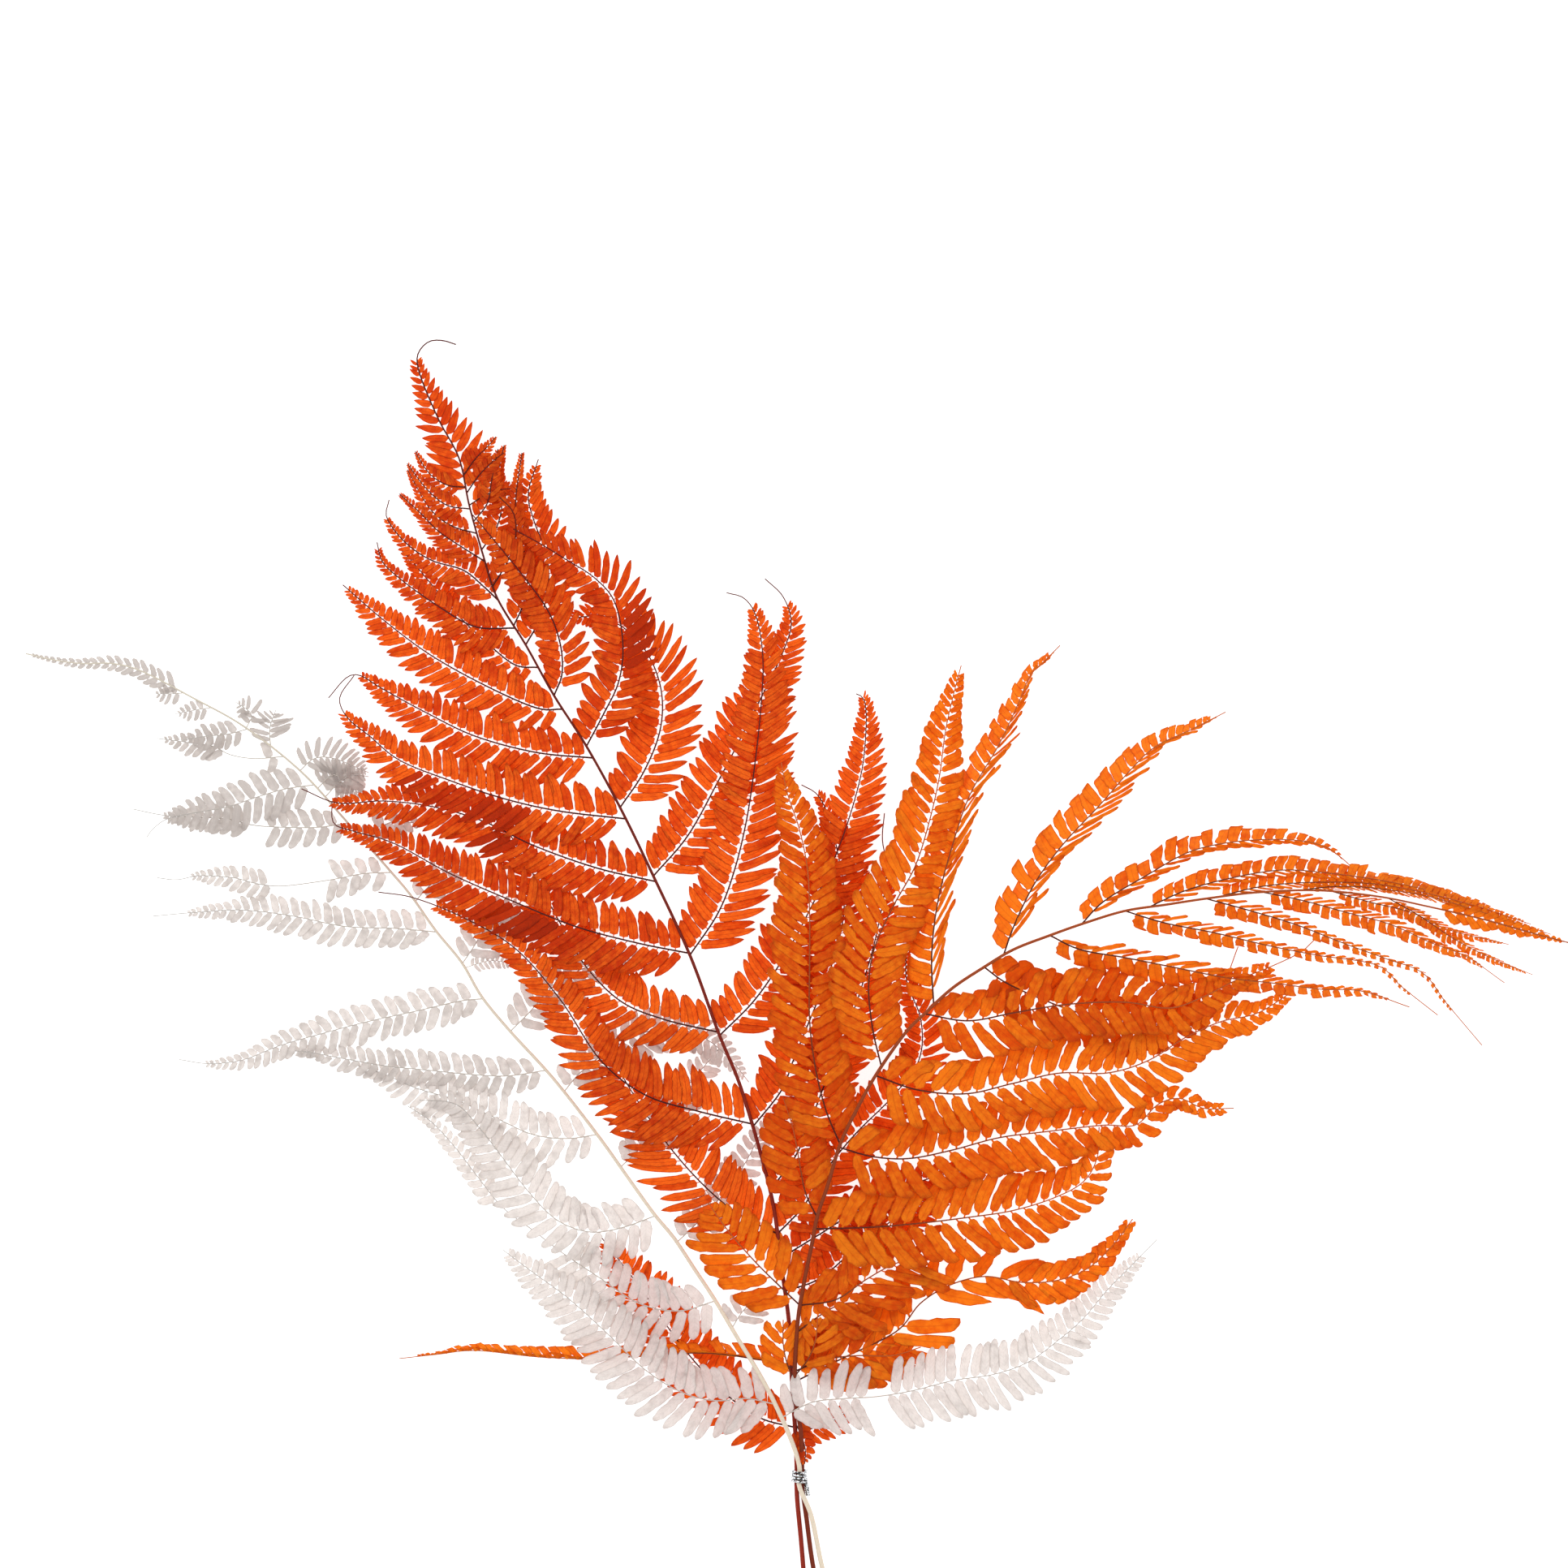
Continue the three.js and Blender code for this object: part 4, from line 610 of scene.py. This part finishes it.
def grow(name, frond, kind, leaf_material, stalk_material, seed):
    """A whole frond: its leaflets are one piece, and its stem and ribs another, and both stand for the CAD node."""
    rng = np.random.default_rng(seed)
    leaves, stalks = Shells(), Shells()
    stem = Route(frond["stem"])
    shares = np.linspace(0, 1, round(stem.length / STEM_STEP))
    thinned = np.maximum(0, shares - THICK_STEM_SHARE) / (1 - THICK_STEM_SHARE)
    radii = STEM_RADIUS + (STEM_TIP_RADIUS - STEM_RADIUS) * thinned
    add_tube(stalks, stem.at(shares), radii, STEM_SIDES, *frames(stem.at, shares))
    for spec in frond["pinnae"]:
        spec = dict(spec)
        at, tip_z, arch = spec.pop("at"), spec.pop("tip_z"), spec.pop("arch")
        root = stem.at(stem.share_near(*at[0]))[0]
        path = Route([root[:2], *at[1:]])

        def place(f, path=path, root=root, tip_z=tip_z, arch=arch):
            f = np.clip(f, 0, 1)
            height = root[2] + (tip_z - root[2]) * f + arch * 4 * f * (1 - f)
            return np.column_stack([path.at(f), height])

        stem_way, side_way = stem.at(stem.share_near(*at[0]) + 0.01)[0] - root, path.at(0.2)[0] - root[:2]
        near_side = np.sign(stem_way[0] * side_way[1] - stem_way[1] * side_way[0])
        add_side_frond(leaves, stalks, place, path.length, kind, rng, near_side=near_side, **spec)
    apex = dict(frond["apex"])
    low, high = stem.share_near(*apex.pop("base")), stem.share_near(*apex.pop("end"))
    add_side_frond(leaves, stalks, lambda f: stem.at(low + (high - low) * np.clip(f, 0, 1)),
                   stem.length * (high - low), kind, rng, near_side=0, rib=False, **apex)
    for shells, part, material in (leaves, "leaflets", leaf_material), (stalks, "stalks", stalk_material):
        piece = shells.piece(f"{name}_{part}", material)
        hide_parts(f"frond_{name}")


class Socket:
    """A number or colour in a material's nodes. Arithmetic on it adds Math nodes."""

    def __init__(self, finish, out):
        self.finish, self.out = finish, out

    def math(self, operation, *values):
        return self.finish.node("ShaderNodeMath", {"operation": operation}, dict(enumerate(values)))

    def __add__(self, other):
        return self.math("ADD", self, other)

    def __sub__(self, other):
        return self.math("SUBTRACT", self, other)

    def __rsub__(self, other):
        return self.math("SUBTRACT", other, self)

    def __mul__(self, other):
        return self.math("MULTIPLY", self, other)

    def __abs__(self):
        return self.math("ABSOLUTE", self)

    def __mod__(self, other):
        return self.math("MODULO", self, other)

    def or_more(self, other):
        return self.math("MAXIMUM", self, other)

    __radd__ = __add__
    __rmul__ = __mul__

    def between(self, low, high):
        """0 below low, 1 above high, and a smooth step between them."""
        return self.finish.node("ShaderNodeMapRange", {"interpolation_type": "SMOOTHSTEP"},
                                {"Value": self, "From Min": low, "From Max": high})


class Finish:
    """A material being made from nodes."""

    def __init__(self, name):
        self.material = bpy.data.materials.new(name)
        self.material.use_nodes = True
        self.nodes = self.material.node_tree.nodes
        self.nodes.clear()

    def node(self, kind, settings=None, sockets=None, out=0):
        """Adds a node of this kind, with its settings first and then the values or links of its sockets."""
        node = self.nodes.new(kind)
        for key, value in (settings or {}).items():
            setattr(node, key, value)
        for key, value in (sockets or {}).items():
            if isinstance(value, Socket):
                self.material.node_tree.links.new(value.out, node.inputs[key])
            else:
                node.inputs[key].default_value = value
        return Socket(self, node.outputs[out])

    def blend(self, factor, a, b):
        """Colour a turning into colour b."""
        return self.node("ShaderNodeMix", {"data_type": "RGBA"}, {0: factor, 6: a, 7: b}, out=2)

    def noise(self, scale, detail=3.0):
        """A soft blotchy pattern fixed to the piece, with about this many blotches a metre."""
        where = self.node("ShaderNodeTexCoord", out="Object")
        return self.node("ShaderNodeTexNoise", {}, {"Vector": where, "Scale": scale, "Detail": detail})

    def surface(self):
        """The piece's own two coordinates: along the leaflet or stalk, and across it."""
        along = self.node("ShaderNodeSeparateXYZ", {}, {"Vector": self.node("ShaderNodeTexCoord", out="UV")})
        return along, Socket(self, along.out.node.outputs["Y"])

    def tone(self):
        """On a leaflet, how deep its colour has turned. On a stalk, 0 on the stem and 1 on a rib."""
        return self.node("ShaderNodeAttribute", {"attribute_name": "tone"}, out="Fac")

    def shade(self, sockets, see_through=0.0, glow=(1, 1, 1, 1)):
        """Ends the material in a Principled shader, with a share of light let through the leaf."""
        shader = self.node("ShaderNodeBsdfPrincipled", {}, sockets)
        if see_through:
            through = self.node("ShaderNodeBsdfTranslucent", {}, {"Color": glow})
            shader = self.node("ShaderNodeMixShader", {}, {0: see_through, 1: shader, 2: through})
        end = self.nodes.new("ShaderNodeOutputMaterial")
        self.material.node_tree.links.new(shader.out, end.inputs["Surface"])
        return self.material


# How many pairs of side veins a leaflet shows
SIDE_VEINS = 8.0


def leaf(name, fresh, deep, margin, vein, glow, edge_strength, vein_strength, see_through):
    """A dried leaflet: its colour drifts between fresh and deep with its age and in blotches, with slanting side
    veins, a midvein, and a dry margin and tip. Where its tone is over 1 it turns towards the margin colour: on some
    leaflets their own darker colour, and on leaflets lying over the next side frond painted shade of the overlap.
    Blotches are about 3 mm wide and the grain about 0.4 mm."""
    finish = Finish(name)
    along, across = finish.surface()
    from_vein = abs(across - 0.5) * 2
    blotch = finish.noise(300.0, 4.0)
    grain = finish.noise(2400.0, 2.0)
    drift = (finish.tone() * 0.75 + blotch * 1.5 - 0.55).between(0.0, 1.0)
    side_vein = 1 - (abs((along * SIDE_VEINS + 2.0 - from_vein * 1.5) % 1.0 - 0.5) * 2).between(0.0, 0.5)
    midvein = 1 - from_vein.between(0.03, 0.12)
    dry = (from_vein + grain * 0.25).between(0.9, 1.1).or_more((along + grain * 0.2).between(0.94, 1.14))
    colour = finish.blend(drift, fresh, deep)
    # Towards the margin colour where tone and blotches run high: the leaflet's own darker colour, and painted shade of
    # the overlap on leaflets lying over the next side frond
    colour = finish.blend((finish.tone() + blotch - 1.4).between(0.0, 1.0) * 0.6, colour, margin)
    colour = finish.blend((side_vein * grain).between(0.2, 0.7) * vein_strength, colour, deep)
    colour = finish.blend(midvein * vein_strength, colour, vein)
    colour = finish.blend(dry * edge_strength, colour, margin)
    relief = finish.node("ShaderNodeBump", {}, {
        "Strength": 0.5, "Distance": 0.0006, "Height": side_vein * 0.15 + blotch * 1.2 + grain * 0.25})
    return finish.shade({"Base Color": colour, "Roughness": grain * 0.2 + 0.6, "Normal": relief,
                         "Specular IOR Level": 0.15}, see_through=see_through, glow=glow)


def stalk(name, stem_foot, stem_top, rib_root, rib_tip):
    """A dry stem and its ribs: each turns from one colour to the other along its length, in fine streaks."""
    finish = Finish(name)
    along, across = finish.surface()
    streak = finish.noise(900.0, 3.0)
    grown = (along + streak * 0.3).between(0.1, 1.1)
    stem = finish.blend(grown, stem_foot, stem_top)
    rib = finish.blend(grown, rib_root, rib_tip)
    stem = finish.blend(streak.between(0.5, 0.8) * 0.4, stem, rib)
    colour = finish.blend(finish.tone(), stem, rib)
    relief = finish.node("ShaderNodeBump", {}, {
        "Strength": 0.3, "Distance": 0.0002, "Height": streak + abs(across - 0.5) * 0.2})
    return finish.shade({"Base Color": colour, "Roughness": streak * 0.2 + 0.5, "Normal": relief,
                         "Specular IOR Level": 0.2})


def wire_metal():
    """Bright wire, dark in patches that follow a noise pattern."""
    finish = Finish("silver_wire")
    wire_patches = finish.noise(900.0, 2.0)
    colour = finish.blend(wire_patches.between(0.42, 0.56), (0.05, 0.055, 0.06, 1), (0.82, 0.84, 0.86, 1))
    return finish.shade({"Base Color": colour, "Metallic": 1.0, "Roughness": wire_patches * 0.15 + 0.12})


# A direction that no part of the wire takes
NO_WIRE_RUNS_THERE = [0.31, 0.9, 0.3]


def tie_wire(material):
    """The wire: a few turns that hug the bundle, and two ends twisted round each other. A turn stays at one distance
    from whichever stem lies furthest out in its direction."""
    stems = np.array([[TIE_HALF_SPREAD, TIE_LOW_Z], [0, TIE_HIGH_Z], [-TIE_HALF_SPREAD, TIE_LOW_Z]])
    reach = STEM_RADIUS + WIRE_GAP + WIRE_RADIUS
    shells = Shells()
    angle = np.radians(WIRE_START) + np.linspace(0, 2 * np.pi * WIRE_TURNS, WIRE_TURNS * STEPS_IN_A_TURN)
    outward = np.column_stack([np.cos(angle), np.sin(angle)])
    furthest = stems[np.argmax(outward @ stems.T, axis=1)]
    ring = furthest + outward * reach
    walked = WIRE_PITCH * ((angle - angle[0]) / (2 * np.pi) - WIRE_TURNS / 2)
    coil = np.column_stack([ring[:, 0], walked, ring[:, 1]])
    tail_at = np.array([TIE_HALF_SPREAD + reach - 0.3, -WIRE_TURNS * WIRE_PITCH / 2, TIE_LOW_Z + reach * 0.75])
    f = np.linspace(0, 1, TAIL_STEPS)
    strands = []
    for phase in (0, np.pi):
        turn = phase + 2 * np.pi * TAIL_TURNS * f
        strands.append(np.column_stack([
            tail_at[0] + TAIL_SLOPE * f + WIRE_RADIUS * TAIL_TIGHTNESS * np.cos(turn),
            tail_at[1] + WIRE_RADIUS - TAIL_LENGTH * f,
            tail_at[2] - TAIL_SLOPE * f + WIRE_RADIUS * TAIL_TIGHTNESS * np.sin(turn)]))
    for points in (coil, *strands):
        route = Route(points)
        shares = np.linspace(0, 1, len(points) * 2)
        centres = route.at(shares)
        forward = unit(np.gradient(centres, axis=0))
        side = unit(np.cross(forward, NO_WIRE_RUNS_THERE))
        above = np.cross(forward, side)
        add_tube(shells, centres, np.full(len(centres), WIRE_RADIUS), WIRE_SIDES, forward, side, above)
    piece = shells.piece("tie_wire", material)
    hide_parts("wire_tie")


def white_table():
    """A plain near-white table top, far wider than the bunch, that fills the view."""
    half = TABLE_WIDTH / 2
    mesh = bpy.data.meshes.new("table_top")
    mesh.from_pydata([(-half, -half, 0), (half, -half, 0), (half, half, 0), (-half, half, 0)], [], [(0, 1, 2, 3)])
    finish = Finish("white_table")
    mesh.materials.append(finish.shade({
        "Base Color": (0.6, 0.6, 0.6, 1), "Roughness": 0.9, "Specular IOR Level": 0.0, "Emission Color": (1, 1, 1, 1),
        "Emission Strength": TABLE_GLOW}))
    table = bpy.data.objects.new("table_top", mesh)
    bpy.context.scene.collection.objects.link(table)


def soft_light(name, place, power, size):
    """A square soft box that points at the middle of the bunch."""
    lamp = bpy.data.lights.new(name, "AREA")
    lamp.energy, lamp.size = power, size
    light = bpy.data.objects.new(name, lamp)
    light.location = place
    aim = VIEW_CENTRE - np.array(place)
    light.rotation_mode = "QUATERNION"
    light.rotation_quaternion = Vector(aim).to_track_quat("-Z", "Y")
    bpy.context.scene.collection.objects.link(light)


# The view: straight down, with the photograph's width of table in the frame at the height of the leaves, which is
# 0.4 mm for each of its 1932 pixels.
VIEW_WIDTH = 772.8 * MM
VIEW_CENTRE = (np.array([-7.6, 342.4, 25.0]) - ORIGIN) * MM
LENS = 250
SENSOR = 36
TABLE_WIDTH = 8.0
TABLE_GLOW = 0.85
WORLD_LIGHT = 0.66

scarlet_leaf = leaf(
    "scarlet_leaf", fresh=(1.0, 0.23, 0.014, 1), deep=(0.58, 0.05, 0.003, 1), margin=(0.14, 0.012, 0.003, 1),
    vein=(0.34, 0.03, 0.003, 1), glow=(1.0, 0.26, 0.014, 1), edge_strength=0.8, vein_strength=0.55, see_through=0.45)
orange_leaf = leaf(
    "orange_leaf", fresh=(1.0, 0.34, 0.012, 1), deep=(0.72, 0.1, 0.002, 1), margin=(0.28, 0.03, 0.003, 1),
    vein=(0.46, 0.06, 0.003, 1), glow=(1.0, 0.36, 0.013, 1), edge_strength=0.65, vein_strength=0.35, see_through=0.45)
white_leaf = leaf(
    "white_leaf", fresh=(0.92, 0.88, 0.86, 1), deep=(0.50, 0.46, 0.44, 1), margin=(0.42, 0.38, 0.36, 1),
    vein=(0.70, 0.67, 0.64, 1), glow=(0.95, 0.91, 0.88, 1), edge_strength=0.6, vein_strength=0.4, see_through=0.5)
scarlet_stalk = stalk(
    "scarlet_stalk", stem_foot=(0.30, 0.022, 0.008, 1), stem_top=(0.10, 0.007, 0.003, 1),
    rib_root=(0.05, 0.006, 0.004, 1), rib_tip=(0.12, 0.012, 0.005, 1))
orange_stalk = stalk(
    "orange_stalk", stem_foot=(0.18, 0.022, 0.007, 1), stem_top=(0.42, 0.08, 0.012, 1),
    rib_root=(0.07, 0.010, 0.005, 1), rib_tip=(0.55, 0.12, 0.02, 1))
white_stalk = stalk(
    "white_stalk", stem_foot=(0.86, 0.74, 0.58, 1), stem_top=(0.66, 0.60, 0.50, 1),
    rib_root=(0.56, 0.51, 0.45, 1), rib_tip=(0.50, 0.47, 0.44, 1))

grow("scarlet", SCARLET, SCARLET_LEAFLET, scarlet_leaf, scarlet_stalk, 11)
grow("orange", ORANGE, ORANGE_LEAFLET, orange_leaf, orange_stalk, 23)
grow("white", WHITE, WHITE_LEAFLET, white_leaf, white_stalk, 37)
tie_wire(wire_metal())
white_table()

world = bpy.data.worlds.new("studio")
bpy.context.scene.world = world
world.use_nodes = True
world.node_tree.nodes["Background"].inputs["Color"].default_value = (1, 1, 1, 1)
world.node_tree.nodes["Background"].inputs["Strength"].default_value = WORLD_LIGHT
soft_light("key", place=(-1.3, 1.6, 2.2), power=30, size=1.8)
soft_light("fill", place=(1.5, -0.6, 2.0), power=9, size=1.8)

camera_data = bpy.data.cameras.new("camera")
camera_data.lens = LENS
camera_data.sensor_width = SENSOR
camera = bpy.data.objects.new("camera", camera_data)
camera.location = VIEW_CENTRE + np.array([0, 0, VIEW_WIDTH * LENS / SENSOR])
camera_data.clip_end = 50
bpy.context.scene.collection.objects.link(camera)
bpy.context.scene.camera = camera
bpy.context.scene.view_settings.view_transform = "Standard"
